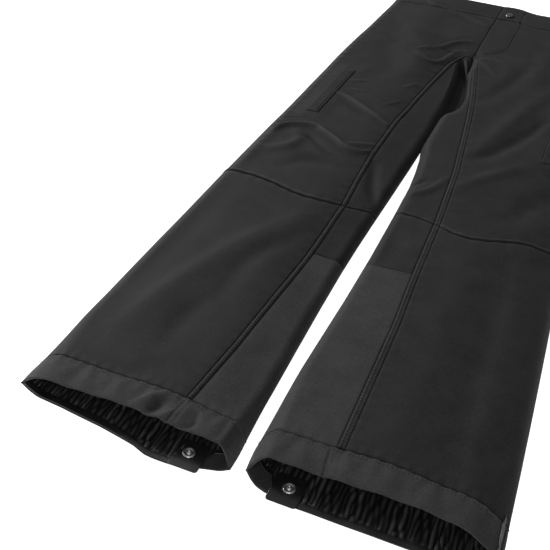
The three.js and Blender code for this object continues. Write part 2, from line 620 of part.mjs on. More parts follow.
const GAITER_DEPTH = HEM_BAND_CLOTH + GAITER_CLEAR;
const GAITER_LOW_Y = HEM_Y + GAITER_BAND_RECESS;
const GAITER_BAND_Y = GAITER_LOW_Y + GAITER_BAND;
const GAITER_TOP_Y = -GAITER_TOP_DROP;
const GAITER_FLOOR_Z = GAITER_DEPTH + GAITER_CLOTH; // inner surface of the gaiter's back

// The skirt is sewn to the leg at its top and hangs clear of the hem band below.
function skirtDepth(y) {
  const sewn = CLOTH + GAP;
  return sewn + (GAITER_DEPTH - sewn) * smooth((GAITER_TOP_Y - y) / (0.5 * (GAITER_TOP_Y - GAITER_BAND_Y)));
}

function snapTab(hand) {
  const low = slantedY(HEM_Y, 0) - TAB_STICK_OUT;
  const edges = [hand * TAB_ROOT, hand * (TAB_ROOT - TAB_LENGTH)];
  const shape = roundedRectangle(Math.min(...edges), Math.max(...edges), low, low + TAB_DEPTH, 3);
  return plate(shape, GAITER_FLOOR_Z + GAP, TAB_CLOTH, 3);
}

function buildGaiter({ side, hand }) {
  const studY = slantedY(HEM_Y, 0) - TAB_STICK_OUT + TAB_SNAP_RISE;
  const studX = hand * (TAB_ROOT - TAB_LENGTH + TAB_SNAP_INSET);
  const studZ = GAITER_FLOOR_Z + TAB_CLOTH + 2 * GAP;
  const socketZ = LIE_HEIGHT - GAITER_FLOOR_Z - GAP - SOCKET_HEIGHT;
  const socketX = hand * (TAB_ROOT + 2 * SNAP_RADIUS);
  const skirtLevels = steps(GAITER_BAND_Y + GAP, GAITER_TOP_Y, 5);
  const bandLevels = steps(GAITER_LOW_Y, GAITER_BAND_Y, 1);
  addPart(`snow_gaiter_skirt_${side}`, sleeve(hand, skirtLevels, skirtDepth, GAITER_CLOTH), GAITER);
  addPart(`gaiter_elastic_band_${side}`, sleeve(hand, bandLevels, () => GAITER_DEPTH, GAITER_CLOTH), GAITER);
  addPart(`gaiter_snap_tab_${side}`, snapTab(hand), GAITER);
  addPart(`gaiter_snap_stud_${side}`, turned(
    ringStudProfile(SNAP_RADIUS, SNAP_HEIGHT), studX, studY, studZ,
  ), BRIGHT);
  addPart(`gaiter_snap_socket_${side}`, turned(
    socketProfile(SNAP_RADIUS, SOCKET_HEIGHT), socketX, GAITER_LOW_Y + 0.5 * GAITER_BAND, socketZ,
  ), BRIGHT);
}
LEGS.forEach(buildGaiter);

// ---- The origin goes under the middle of the garment ----
const lowestY = slantedY(HEM_Y, 0) - TAB_STICK_OUT;
const highestY = slantedY(WAIST_Y, 0);
pants.position.set(0, -0.5 * (lowestY + highestY), 0);

export default pants;
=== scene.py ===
"""Softshell ski pants lying on their back: cloth, seams, gaiters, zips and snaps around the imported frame.

Sizes are in millimetres from the crotch unless a name says otherwise: X across with the wearer's right leg
at -X, Y towards the waist, Z up out of the front. Tailor.to_row turns them into the frame's metres.
"""

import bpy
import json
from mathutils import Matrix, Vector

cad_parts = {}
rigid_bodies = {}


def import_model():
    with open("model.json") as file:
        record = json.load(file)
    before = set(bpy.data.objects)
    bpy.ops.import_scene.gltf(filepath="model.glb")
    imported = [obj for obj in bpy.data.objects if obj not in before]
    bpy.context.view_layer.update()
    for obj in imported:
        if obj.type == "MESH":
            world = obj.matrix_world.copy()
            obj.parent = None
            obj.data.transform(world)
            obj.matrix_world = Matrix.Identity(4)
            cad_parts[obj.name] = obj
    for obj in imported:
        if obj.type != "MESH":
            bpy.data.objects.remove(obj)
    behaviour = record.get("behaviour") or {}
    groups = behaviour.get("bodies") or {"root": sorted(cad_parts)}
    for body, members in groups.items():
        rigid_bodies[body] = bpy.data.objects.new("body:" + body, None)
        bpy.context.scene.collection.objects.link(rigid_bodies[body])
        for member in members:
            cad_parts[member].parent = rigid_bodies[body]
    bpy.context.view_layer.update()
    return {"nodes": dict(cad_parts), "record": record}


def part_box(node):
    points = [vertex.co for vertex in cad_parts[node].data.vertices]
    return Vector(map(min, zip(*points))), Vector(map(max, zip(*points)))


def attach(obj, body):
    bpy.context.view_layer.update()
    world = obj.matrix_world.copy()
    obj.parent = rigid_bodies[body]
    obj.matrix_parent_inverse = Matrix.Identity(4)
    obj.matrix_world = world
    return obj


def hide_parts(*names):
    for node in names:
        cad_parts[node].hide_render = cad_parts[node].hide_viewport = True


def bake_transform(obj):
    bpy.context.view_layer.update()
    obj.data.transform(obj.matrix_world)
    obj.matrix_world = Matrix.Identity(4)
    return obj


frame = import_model()

import json
import logging
import math
from collections.abc import Callable, Iterable, Sequence
from dataclasses import dataclass, field
from enum import Enum

import bmesh
import bpy
import numpy as np
from mathutils import Matrix, Vector

LOG = logging.getLogger("ski_pants")
MM = 0.001

Array = np.ndarray
Surface = Callable[[Array, Array], tuple[Array, Array, Array]]


# ---------------------------------------------------------------------------------------------- measures


class Side(Enum):
    """Which of the wearer's legs."""

    RIGHT = "right"
    LEFT = "left"

    @property
    def hand(self) -> int:
        """-1 for the right leg, 1 for the left."""
        return -1 if self is Side.RIGHT else 1

    def node(self, name: str) -> str:
        """The CAD node of that name on this leg."""
        return f"{name}_{self.value}"


@dataclass(frozen=True)
class Levels:
    """Heights along the garment, in mm from the crotch, read off the frame."""

    crotch_row: float
    waist: float
    band: float
    knee: float
    patch: float
    hem_band: float
    hem: float

    @classmethod
    def read(cls, front_rise: float = 197.0) -> "Levels":
        """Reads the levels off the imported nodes.

        Args:
            front_rise: crotch to the waist edge at the front.

        Returns:
            The levels of this frame.
        """
        waist_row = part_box("waistband_tab")[1].y / MM
        crotch_row = waist_row - front_rise

        def low(name: str) -> float:
            """A node's lowest level."""
            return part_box(name)[0].y / MM - crotch_row

        strip_bottom = low("princess_seam_strip_shin_right")
        return cls(
            crotch_row=crotch_row, waist=front_rise, band=low("waistband_front_left"),
            knee=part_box("front_shin_panel_right")[1].y / MM - crotch_row,
            patch=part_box("kick_patch_right")[1].y / MM - crotch_row,
            hem_band=strip_bottom, hem=strip_bottom - 36.0,
        )


LEVELS = Levels.read()
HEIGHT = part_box("front_thigh_panel_right")[1].z / MM
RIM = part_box("front_thigh_panel_right")[0].z / MM
BACK_RISE = 30.0
HEM_BACK_DROP = 18.0
CENTRE = -9.0
MEETING = -10.6
CROTCH_POINT = 15.0
KNEE_BEND_REACH = 75.0
ZIP_CLEAR = 32.2
HOLLOW_LEVELS = (-170, -163, -154, -140, -106, -70, -32, -1, 10)
HOLLOW_WALL = (-11, -3, 7, 13, 14, 6, -3, -17, -22)


def smooth(t: Array | float) -> Array:
    """A soft step from 0 to 1 as t goes from 0 to 1."""
    t = np.clip(t, 0, 1)
    return t * t * (3 - 2 * t)


def rounded(distance: Array, width: Array | float, crease: Array | float = 0.0) -> Array:
    """0 at an edge, rising to 1 at that width from it: round with a crease of 0, a sharp fold with 1."""
    left = 1 - np.clip(distance / width, 0, 1)
    return np.maximum(0, 1 - left * left) ** (0.5 + 0.5 * crease)


def slanted(level: Array, z: Array, hem_drop: Array | float = HEM_BACK_DROP) -> Array:
    """The Y of a point at a level and height: the back reaches higher at the waist and lower at the hem."""
    rise = BACK_RISE * smooth(level / LEVELS.waist)
    drop = hem_drop * smooth((LEVELS.knee - level) / (LEVELS.knee - LEVELS.hem))
    return level + (1 - z / HEIGHT) * (rise - drop)


def hollow_strength(level: Array) -> Array:
    """How strongly the cloth sinks between the thighs at a level."""
    return smooth((level + 178) / 14) * smooth((12 - level) / 24)


def hollowed(x: Array, level: Array, height: Array) -> Array:
    """Heights of the front, sunk in the hollow between the thighs under the crotch.

    Args:
        x: places across.
        level: levels.
        height: the heights without the hollow.

    Returns:
        The heights with it.
    """
    right_wall = -26.0 - 0.124 * (level + 10)
    left_wall = np.interp(level, HOLLOW_LEVELS, HOLLOW_WALL)
    kept = smooth((right_wall + 5 - x) / 10) + smooth((x - left_wall + 3) / 3)
    sink = hollow_strength(level) * (1 - np.clip(kept, 0, 1))
    return height - np.maximum(height - 6.0, 0) * sink


def waist_dip(x: Array, level: Array) -> Array:
    """How far the waist sags towards the crotch on the wearer's left half, in mm."""
    return 10.0 * smooth((x - 5) / 45) * smooth((level - 70) / 60)


def to_row(x: Array, y: Array, z: Array) -> Array:
    """Points in millimetres from the crotch as points of the frame, in metres."""
    return np.stack([x, y + LEVELS.crotch_row, z], axis=-1) * MM


# ------------------------------------------------------------------------------------------ cloth surface


@dataclass(frozen=True)
class Fold:
    """A rounded crease along a line on the cloth; a negative height is a hollow."""

    path: tuple[tuple[float, float], ...]
    height: float
    width: float
    lean: float = 0.0
    samples: int = 20

    def line(self) -> Array:
        """The path as a smooth curve through its points."""
        knots = np.array(self.path, float)
        if len(knots) < 3:
            return np.linspace(knots[0], knots[-1], self.samples)
        ends = [2 * knots[0] - knots[1], 2 * knots[-1] - knots[-2]]
        padded = np.vstack([ends[0], knots, ends[1]])
        spans = len(knots) - 1
        at = np.linspace(0, spans, self.samples)
        index = np.minimum(at.astype(int), spans - 1)
        t = (at - index)[:, None]
        a, b, c, d = (padded[index + k] for k in range(4))
        bend, twist = 2 * a - 5 * b + 4 * c - d, 3 * b - a - 3 * c + d
        return 0.5 * (2 * b + (c - a) * t + bend * t**2 + twist * t**3)

    def lift(self, x: Array, y: Array) -> Array:
        """How far the crease raises the cloth.

        Args:
            x: places across.
            y: levels.

        Returns:
            The lift at each place, in mm.
        """
        out = np.zeros(x.shape)
        line = self.line()
        reach = 3.2 * self.width * (1 + abs(self.lean))
        low, high = line.min(0) - reach, line.max(0) + reach
        near = (x > low[0]) & (x < high[0]) & (y > low[1]) & (y < high[1])
        if not near.any():
            return out
        points = np.stack([x[near], y[near]], axis=-1)
        best = np.full(len(points), np.inf)
        across, along = np.zeros(len(points)), np.zeros(len(points))
        steps = len(line) - 1
        for i in range(steps):
            start, run = line[i], line[i + 1] - line[i]
            t = np.clip((points - start) @ run / max(run @ run, 1e-9), 0, 1)
            offset = points - start - t[:, None] * run
            distance = np.hypot(offset[:, 0], offset[:, 1])
            closer = distance < best
            side = np.sign(run[0] * offset[:, 1] - run[1] * offset[:, 0])
            best = np.where(closer, distance, best)
            across = np.where(closer, side, across)
            along = np.where(closer, (i + t) / steps, along)
        width = self.width * (1 + self.lean * across)
        fade = np.sin(np.pi * np.clip(0.08 + 0.84 * along, 0, 1)) ** 0.6
        out[near] = self.height * np.exp(-((best / width) ** 2)) * fade
        return out


@dataclass(frozen=True)
class Ripple:
    """Small puckers across a seam that runs along X or along Y."""

    along_x: bool
    place: Callable[[Array], Array]
    span: tuple[float, float]
    height: float
    reach: float
    pitch: float
    phase: float = 0.0

    def lift(self, x: Array, y: Array) -> Array:
        """The puckers' lift at each place, in mm."""
        run, away = (x, y - self.place(x)) if self.along_x else (y, x - self.place(y))
        wobble = 1.7 * np.sin(run / (3.1 * self.pitch) + self.phase) + 0.8 * np.sin(run / (1.3 * self.pitch))
        wave = np.sin(2 * np.pi * run / self.pitch + wobble + self.phase)
        ends = smooth((run - self.span[0]) / 12) * smooth((self.span[1] - run) / 12)
        return self.height * wave * ends * np.exp(-((away / self.reach) ** 2))


class Undulation:
    """A gentle unevenness made of a few long waves."""

    def __init__(self, seed: int, count: int = 14, height: float = 0.55) -> None:
        """Draws the waves.

        Args:
            seed: start of the random draw.
            count: how many waves.
            height: their joint height in mm.
        """
        draw = np.random.default_rng(seed)
        angle = draw.uniform(0, 2 * np.pi, count)
        length = draw.uniform(38, 150, count)
        self.k = np.stack([np.cos(angle), np.sin(angle)], axis=1) * (2 * np.pi / length)[:, None]
        self.phase = draw.uniform(0, 2 * np.pi, count)
        self.height = height * (length / 95) / math.sqrt(count)

    def lift(self, x: Array, y: Array) -> Array:
        """The waves' height at each place, in mm."""
        out = np.zeros(x.shape)
        for (kx, ky), phase, height in zip(self.k, self.phase, self.height):
            out += height * np.sin(kx * x + ky * y + phase)
        return out


@dataclass(frozen=True)
class LegShape:
    """How one leg's front slumps: the widths of its two rounded sides, and its slope towards +X."""

    low_side: float
    high_side: float
    slope_drop: float
    slope_reach: float
    droop_at: tuple[float, ...]
    droop: tuple[float, ...]
    seam_at: tuple[float, ...]
    seam: tuple[float, ...]
    seam_width: float
    mouth_low: float
    mouth_high: float
    mouth_rims: tuple[float, float]
    knee_sag: tuple[float, float, float]
    mouth_lift: float = 0.0
    inner_at: tuple[float, ...] = ()
    inner: tuple[float, ...] = ()


@dataclass(frozen=True)
class PocketLine:
    """Where one thigh pocket's zip runs, in mm from the crotch."""

    hand: int
    middle: float
    low: float
    high: float

    @classmethod
    def read(cls, side: Side) -> "PocketLine":
        """Reads the line off the welt's CAD node."""
        low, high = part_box(side.node("pocket_welt"))
        row = LEVELS.crotch_row
        return cls(side.hand, (low.x + high.x) / 2 / MM, low.y / MM - row, high.y / MM - row)

    def across(self, level: Array) -> Array:
        """The line's x at each level."""
        return self.middle - self.hand * 0.05 * (level - (self.low + self.high) / 2)

    def over(self, x: Array, level: Array, half: float, spare: float, fade: float) -> Array:
        """1 over the zip, fading to 0 around it.

        Args:
            x: places across.
            level: levels.
            half: half the width that is wholly covered.
            spare: how far it goes on past the zip's ends.
            fade: the width of the fade.

        Returns:
            The share at each place.
        """
        sideways = np.abs(x - self.across(level)) - half
        past_end = np.maximum(self.low - level, level - self.high) - spare
        return smooth(1 - sideways / fade) * smooth(1 - past_end / fade)


class Tailor:
    """The shape of one leg's cloth: its outline, its lying surface and its seam lines."""

    def __init__(self, side: Side, shape: LegShape, folds: Sequence[Fold], seed: int) -> None:
        """Reads the outline and the seam lines off the CAD nodes of one leg.

        Args:
            side: which leg.
            shape: how the leg slumps.
            folds: the creases on its front.
            seed: start of the draw of its unevenness.
        """
        self.side, self.hand, self.shape, self.folds = side, side.hand, shape, folds
        self.undulation = Undulation(seed)
        self.pocket = PocketLine.read(side)
        outer = self._rims(["front_thigh_panel", "front_shin_panel", "hem_band"], extra=self._waist_node())
        inner = self._rims(["inner_thigh_gusset", "inner_shin_panel", "kick_patch", "hem_band"])
        self.outer_levels, self.outer_x = self._edge(outer, self.hand)
        self.inner_levels, self.inner_x = self._edge(inner, -self.hand)
        self.ripples = self._ripples()

    def _waist_node(self) -> str:
        """The front waistband's node on this side."""
        return f"waistband_front_{self.side.value}"

    def _rims(self, names: list[str], extra: str | None = None) -> Array:
        """Points (x, y) of those nodes near the level of the rim, in mm."""
        nodes = [self.side.node(n) for n in names] + ([extra] if extra else [])
        found = []
        for name in nodes:
            points = np.array([v.co for v in frame["nodes"][name].data.vertices]) / MM
            found.append(points[np.abs(points[:, 2] - RIM) < 0.4][:, :2])
        points = np.vstack(found)
        points[:, 1] -= LEVELS.crotch_row
        return points

    @staticmethod
    def _edge(points: Array, hand: int) -> tuple[Array, Array]:
        """The outermost x in that direction at each level where the points lie."""
        levels = np.linspace(LEVELS.hem, LEVELS.waist, 600)
        rim_y = slanted(levels, np.full(levels.shape, RIM))
        rows = np.unique(np.round(points[:, 1], 1))
        best = np.array([(points[np.abs(points[:, 1] - row) < 0.06][:, 0] * hand).max() for row in rows])
        keep = best > np.interp(rows, rows, best) - 1
        return np.interp(rows[keep], rim_y, levels), best[keep] * hand

    # ---- lines on the cloth ----

    def slant(self, x: Array, level: Array, z: Array) -> Array:
        """The Y of a point of this leg, whose back edge droops unevenly at the hem."""
        return slanted(level, z, np.interp(x, self.shape.droop_at, self.shape.droop)) - waist_dip(x, level)

    def edges(self, level: Array) -> tuple[Array, Array]:
        """The leg's lowest and highest x at each level."""
        outer = np.interp(level, self.outer_levels, self.outer_x)
        inner = np.interp(level, self.inner_levels, self.inner_x)
        if self.shape.inner_at:
            inner = np.interp(level, self.shape.inner_at, self.shape.inner)
        inner = inner + (MEETING - inner) * smooth((level + 262) / 40)
        inner = inner + (CENTRE - inner) * smooth((level - 20) / 20)
        return (outer, inner) if self.hand < 0 else (inner, outer)

    def strip(self, level: Array) -> tuple[Array, Array]:
        """The seam strip's edges nearest to the inner and to the outer side at each level."""
        line = np.interp(level, self.shape.seam_at, self.shape.seam)
        bend = np.interp(level - 12, self.shape.seam_at, self.shape.seam)
        line = (2 * line + bend + np.interp(level + 12, self.shape.seam_at, self.shape.seam)) / 4
        return line, line + self.hand * self.shape.seam_width

    def knee_line(self, x: Array) -> Array:
        """The knee seam's level across the leg."""
        low, high = self.edges(np.full(np.shape(x), LEVELS.knee))
        across = np.clip((x - low) / (high - low), 0, 1)
        middle, reach, depth = self.shape.knee_sag
        return LEVELS.knee + 12.0 - depth * np.exp(-(((across - middle) / reach) ** 2))

    def along_knee(self, level: Array, x: Array, reach: float = 90.0) -> Array:
        """Bends levels near the knee so that the level of the knee follows the seam."""
        near = 1 - smooth(np.abs(level - LEVELS.knee) / reach)
        return level + (self.knee_line(x) - LEVELS.knee) * near

    # ---- heights ----

    def _ripples(self) -> list[Ripple]:
        """The puckers along this leg's seams."""
        low, high = self.edges(np.array([LEVELS.hem_band]))
        span = (float(low[0]) + 8, float(high[0]) - 8)
        hand = self.hand
        outer = 0 if hand < 0 else 1
        return [
            Ripple(True, lambda x: LEVELS.hem_band + 0 * x, span, 0.32, 9, 13, 0.4),
            Ripple(True, lambda x: LEVELS.hem + 12 + 0 * x, span, 0.75, 15, 34, 2.0),
            Ripple(True, lambda x: LEVELS.hem + 22 + 0 * x, span, 0.40, 11, 19, 0.9),
            Ripple(True, self.knee_line, span, 0.28, 10, 19, 1.1),
            Ripple(False, lambda y: self.strip(y)[1] + hand * 4, (LEVELS.hem_band, 0), 0.22, 8, 17, 0.7),
            Ripple(False, lambda y: self.edges(y)[outer] - hand * 16, (-380, 130), 0.42, 9, 15, 0.2),
        ]

    def front_height(self, x: Array, level: Array) -> Array:
        """The front cloth's height over the floor.

        Args:
            x: places across, in mm.
            level: levels, in mm from the crotch.

        Returns:
            The heights, in mm.
        """
        low, high = self.edges(level)
        from_low, from_high = x - low, high - x
        shape = self.shape
        middle = np.clip(from_low / np.maximum(high - low, 1), 0, 1)
        top = HEIGHT - 3.0 + 2.4 * np.sin(np.pi * middle)
        legs = 1 - smooth((level + 30) / 110)
        mouth_lift = 1 - shape.mouth_lift * smooth((-755 - level) / 45)
        top = top - shape.slope_drop * legs * mouth_lift * smooth(1 - from_high / shape.slope_reach)
        top = top + self.undulation.lift(x, level)
        for fold in self.folds:
            top = top + fold.lift(x, level)
        for ripple in self.ripples:
            top = top + ripple.lift(x, level)
        open_crotch = 1 - smooth((level + 12) / 50)
        low_width, high_width, crease = self._sides(level)
        low_round, high_round = rounded(from_low, low_width, crease), rounded(from_high, high_width, crease)
        if self.hand < 0:
            high_round = 1 - (1 - high_round) * open_crotch
        else:
            low_round = 1 - (1 - low_round) * open_crotch
        rim = self.rim(x, level)
        height = rim + (top - rim) * low_round * high_round - self._grooves(x, level)
        over_zip = self.pocket.over(x, level, 7.0, 2.0, 22.0)
        height = height + np.maximum(0, ZIP_CLEAR - height) * over_zip
        return hollowed(x, level, height)

    def _sides(self, level: Array) -> tuple[Array, Array, Array]:
        """The widths of the leg's two sides and how sharply they are creased, by level."""
        mouth = smooth((-700 - level) / 100)
        shape = self.shape
        low = shape.low_side + (shape.mouth_low - shape.low_side) * mouth
        high = shape.high_side + (shape.mouth_high - shape.high_side) * mouth
        return low, high, 0.3 + 0.6 * mouth

    def rim(self, x: Array, level: Array) -> Array:
        """The height where front and back meet: lower at the mouth's inner corner."""
        low, high = self.edges(level)
        mouth = smooth((-720 - level) / 90)
        share = np.clip((x - low) / np.maximum(high - low, 1), 0, 1)
        at_low, at_high = self.shape.mouth_rims
        return RIM + ((at_low + (at_high - at_low) * share) - RIM) * mouth

    def _grooves(self, x: Array, level: Array) -> Array:
        """How far the seams pull the cloth down."""
        def groove(distance: Array, depth: float, width: float) -> Array:
            """A rounded groove at that distance from its line."""
            return depth * np.exp(-((distance / width) ** 2))

        low, high = self.edges(level)
        from_side = x - low if self.hand < 0 else high - x
        side = groove(from_side - 8.5, 1.2, 1.3) * smooth((level - LEVELS.knee - 6) / 12)
        line = self.knee_line(x)
        knee = groove(level - line, 2.4, 1.0) + groove(level - line - 6.2, 0.6, 0.9) * (level > line)
        inner, outer = self.strip(level)
        below_crotch = 1 - smooth((level - 12) / 8)
        inner_depth, outer_depth = (0.8, 0.1) if self.hand < 0 else (0.35, 0.3)
        princess = groove(x - inner, inner_depth, 1.1) + groove(x - outer, outer_depth, 1.1)
        princess = princess * below_crotch
        inside = smooth(self.hand * (inner - x) / 2 + 0.5)
        patch = groove(level - self.patch_line(x), 0.7, 1.6) * inside
        hem = groove(level - LEVELS.hem_band, 0.8, 1.6)
        join = groove(x - self.hem_join(level), 1.1, 1.3) * smooth((LEVELS.hem_band - 3 - level) / 3)
        band = groove(level - LEVELS.band, 0.8, 1.6)
        return knee + princess + patch + hem + join + band + side

    def hem_join(self, level: Array) -> Array:
        """The hem band's own seam."""
        return self.hand * (75.0 + 0.16 * (LEVELS.hem_band - level))

    def patch_line(self, x: Array) -> Array:
        """The kick patch's top seam."""
        inner = self.edges(np.full(np.shape(x), LEVELS.patch))[1 if self.hand < 0 else 0]
        return LEVELS.patch + 3 * np.cos(np.abs(x - inner) / 18)

    def front(self, x: Array, level: Array, lift: Array | float = 0.0) -> tuple[Array, Array, Array]:
        """Points of the front cloth, raised by lift, in mm."""
        z = self.front_height(x, level) + lift
        return x, self.slant(x, level, z), z

    def back(self, x: Array, level: Array) -> tuple[Array, Array, Array]:
        """Points of the back cloth, in mm."""
        low, high = self.edges(level)
        low_width, high_width, crease = self._sides(level)
        open_crotch = 1 - smooth((level + 12) / 50)
        low_round = rounded(x - low, 0.75 * low_width, crease)
        high_round = rounded(high - x, 0.75 * high_width, crease)
        if self.hand < 0:
            high_round = 1 - (1 - high_round) * open_crotch
        else:
            low_round = 1 - (1 - low_round) * open_crotch
        flat = low_round * high_round
        waves = 0.7 + 0.9 * self.undulation.lift(1.3 * x + 40, 1.3 * level - 90)
        rim = self.rim(x, level) * (1 - 0.45 * hollow_strength(level))
        z = rim * (1 - flat) + np.clip(waves, 0, 2.2) * flat
        return x, self.slant(x, level, z), z

    @staticmethod
    def across_front(u: Array, level: Array, start: Array, end: Array, rims: tuple[bool, bool]) -> Array:
        """Places across from start to end, closer together round a rim at either end.

        Args:
            u: 0 at start to 1 at end.
            level: the levels, for the shape of the result only.
            start: x where u is 0, by level.
            end: x where u is 1, by level.
            rims: whether the start and the end lie on the leg's rim.

        Returns:
            x at each place.
        """
        if rims == (True, True):
            share = 0.5 - 0.5 * np.cos(np.pi * u)
        elif rims == (True, False):
            share = 1 - np.cos(0.5 * np.pi * u)
        elif rims == (False, True):
            share = np.sin(0.5 * np.pi * u)
        else:
            share = u
        return start + (end - start) * share + 0 * level

    def ring(self, u: Array, level: Array, depth: float = 0.0) -> tuple[Array, Array, Array]:
        """A closed ring of the leg's cloth at a level, sunk into the leg by depth.

        Args:
            u: 0 to 0.5 across the front from -X to +X, and 0.5 to 1 back along the back.
            level: levels in mm.
            depth: how far inside the cloth's outer face.

        Returns:
            The points, in mm.
        """
        level = level + 0 * u
        low, high = self.edges(level)
        on_front = u <= 0.5
        share = np.where(on_front, 2 * u, 2 - 2 * u)
        inset = depth * np.cos(np.pi * share)
        x = low + (high - low) * (0.5 - 0.5 * np.cos(np.pi * share))
        front_z = self.front_height(x, level)
        back_z = self.back(x, level)[2]
        z = np.where(on_front, front_z, back_z)
        lean = np.sin(np.pi * share) ** 0.35 * depth
        z = np.where(on_front, np.maximum(z - lean, back_z + depth), back_z + lean)
        return x + inset, self.slant(x, level, np.where(on_front, front_z, back_z)), z


# ------------------------------------------------------------------------------------------- mesh making


def cut_area(area: float, flat: tuple[float, float]) -> float:
    """A piece's cut area, kept within what its rectangle allows."""
    least_share = 0.31
    rectangle = flat[0] * flat[1]
    return min(1.0, max(least_share, area / rectangle)) * rectangle


@dataclass
class Cloth:
    """Makes and finishes one piece of cloth."""

    name: str
    thickness: float = 1.2
    outer: bpy.types.Material | None = None
    inner: bpy.types.Material | None = None
    flat: tuple[float, float] = (0.0, 0.0)
    area: float = 0.0

    def grid(self, columns: int, rows: int, surface: Surface, closed: bool = False) -> bpy.types.Object:
        """A grid of cloth laid on a surface, with its own UV map in metres and a crest attribute.

        Args:
            columns: cells across (u).
            rows: cells along (v).
            surface: turns (u, v) arrays into x, y, z in mm.
            closed: whether u 0 and u 1 are sewn together.

        Returns:
            The object, with its thickness as a modifier.
        """
        shell = bmesh.new()
        bmesh.ops.create_grid(shell, x_segments=columns, y_segments=rows, size=1)
        mesh = bpy.data.meshes.new(self.name)
        shell.to_mesh(mesh)
        shell.free()
        plan = np.zeros(len(mesh.vertices) * 3, np.float32)
        mesh.vertices.foreach_get("co", plan)
        plan = plan.reshape(-1, 3)
        i = np.rint((plan[:, 0] + 1) / 2 * columns).astype(int)
        j = np.rint((plan[:, 1] + 1) / 2 * rows).astype(int)
        u, v = np.meshgrid(np.linspace(0, 1, columns + 1), np.linspace(0, 1, rows + 1))
        points = to_row(*surface(u, v))
        mesh.vertices.foreach_set("co", points[j, i].astype(np.float32).ravel())
        self._unfold(mesh, points, i, j)
        self._mark_crests(mesh, points, i, j, closed)
        if closed:
            self._sew(mesh)
        return self._finish(mesh)

    def _unfold(self, mesh: bpy.types.Mesh, points: Array, i: Array, j: Array) -> None:
        """Lays the cloth flat as its UV map, in metres, and keeps the flat size."""
        across = np.linalg.norm(np.diff(points, axis=1), axis=2)
        along = np.linalg.norm(np.diff(points, axis=0), axis=2)
        u = np.concatenate([np.zeros((len(points), 1)), np.cumsum(across, axis=1)], axis=1)
        u -= u[:, u.shape[1] // 2, None]
        v = np.concatenate([[0], np.cumsum(along.mean(axis=1))])
        self.flat = (float(np.ptp(u, axis=1).max()), float(v[-1]))
        widths = np.ptp(u, axis=1)
        self.area = float(((widths[1:] + widths[:-1]) / 2 * np.diff(v)).sum())
        layer = mesh.uv_layers.new(name="UVMap")
        corners = np.zeros(len(mesh.loops), np.int32)
        mesh.loops.foreach_get("vertex_index", corners)
        flat = np.stack([u[j, i], v[j]], axis=1)[corners]
        layer.data.foreach_set("uv", flat.astype(np.float32).ravel())

    @staticmethod
    def _mark_crests(mesh: bpy.types.Mesh, points: Array, i: Array, j: Array, ring: bool) -> None:
        """Stores how far each point stands above its surroundings, in mm; on a ring, along it only. The
        finishes turn it into painted shade in hollows and painted highlight on crests.
        """
        passes, most = 16, 2.0
        z = points[:, :, 2] / MM
        blurred = z.copy()
        for _ in range(passes):
            wide = np.pad(blurred, 1, mode="edge")
            sides = wide[1:-1, :-2] + wide[1:-1, 2:]
            ends = 2 * blurred if ring else wide[:-2, 1:-1] + wide[2:, 1:-1]
            blurred = (sides + ends + 2 * blurred) / 6
        crest = mesh.attributes.new("crest", "FLOAT", "POINT")
        crest.data.foreach_set("value", np.clip(z - blurred, -most, most)[j, i].astype(np.float32))

    @staticmethod
    def _sew(mesh: bpy.types.Mesh) -> None:
        """Joins the first and last columns."""
        shell = bmesh.new()
        shell.from_mesh(mesh)
        bmesh.ops.remove_doubles(shell, verts=shell.verts, dist=1e-6)
        shell.to_mesh(mesh)
        shell.free()

    def _finish(self, mesh: bpy.types.Mesh) -> bpy.types.Object:
        """Gives the mesh its object, its finishes and its thickness."""
        for polygon in mesh.polygons:
            polygon.use_smooth = True
        piece = bpy.data.objects.new(self.name, mesh)
        bpy.context.scene.collection.objects.link(piece)
        mesh.materials.append(self.outer)
        mesh.materials.append(self.inner or self.outer)
        if self.thickness:
            wall = piece.modifiers.new("cloth", "SOLIDIFY")
            wall.thickness, wall.offset = self.thickness * MM, -1
            wall.material_offset = 1
        return piece

    def declare(self, piece: bpy.types.Object, held: str = "laid", rests_on: Iterable[str] = ()) -> None:
        """Works out the piece's cut area from its unfolded size, and does nothing more with it."""
        area = cut_area(self.area, self.flat)


class Stitcher:
    """Sews rows of short thread stitches, all of one group in one piece."""

    def __init__(self, name: str, thread: bpy.types.Material, length: float = 2.4, gap: float = 1.7) -> None:
        """Starts an empty group.

        Args:
            name: the piece's name.
            thread: its finish.
            length: one stitch, in mm.
            gap: between stitches, in mm.
        """
        self.name, self.thread, self.length, self.gap = name, thread, length, gap
        self.shell = bmesh.new()
        self.count = 0

    def sew(self, points: Array, radius: float = 0.28) -> None:
        """Sews along a line.

        Args:
            points: the line in the frame's metres, in order.
            radius: the thread's radius in mm.
        """
        steps = np.linalg.norm(np.diff(points, axis=0), axis=1)
        along = np.concatenate([[0], np.cumsum(steps)])
        pitch = (self.length + self.gap) * MM
        number = int(along[-1] / pitch)
        for k in range(number):
            ends = (k * pitch, k * pitch + self.length * MM)
            start, end = (Vector([np.interp(e, along, points[:, a]) for a in range(3)]) for e in ends)
            run = end - start
            if run.length < 1e-6:
                continue
            turn = run.to_track_quat("X", "Z").to_matrix().to_4x4()
            size = Matrix.Diagonal((0.5 * run.length + 0.2 * MM, radius * MM, radius * MM, 1))
            place = Matrix.Translation((start + end) / 2)
            bmesh.ops.create_icosphere(self.shell, subdivisions=1, radius=1, matrix=place @ turn @ size)
            self.count += 1

    def piece(self) -> bpy.types.Object:
        """The finished group as an object."""
        mesh = bpy.data.meshes.new(self.name)
        self.shell.to_mesh(mesh)
        self.shell.free()
        for polygon in mesh.polygons:
            polygon.use_smooth = True
        mesh.materials.append(self.thread)
        made = bpy.data.objects.new(self.name, mesh)
        bpy.context.scene.collection.objects.link(made)
        return made


# ---------------------------------------------------------------------------------------------- finishes


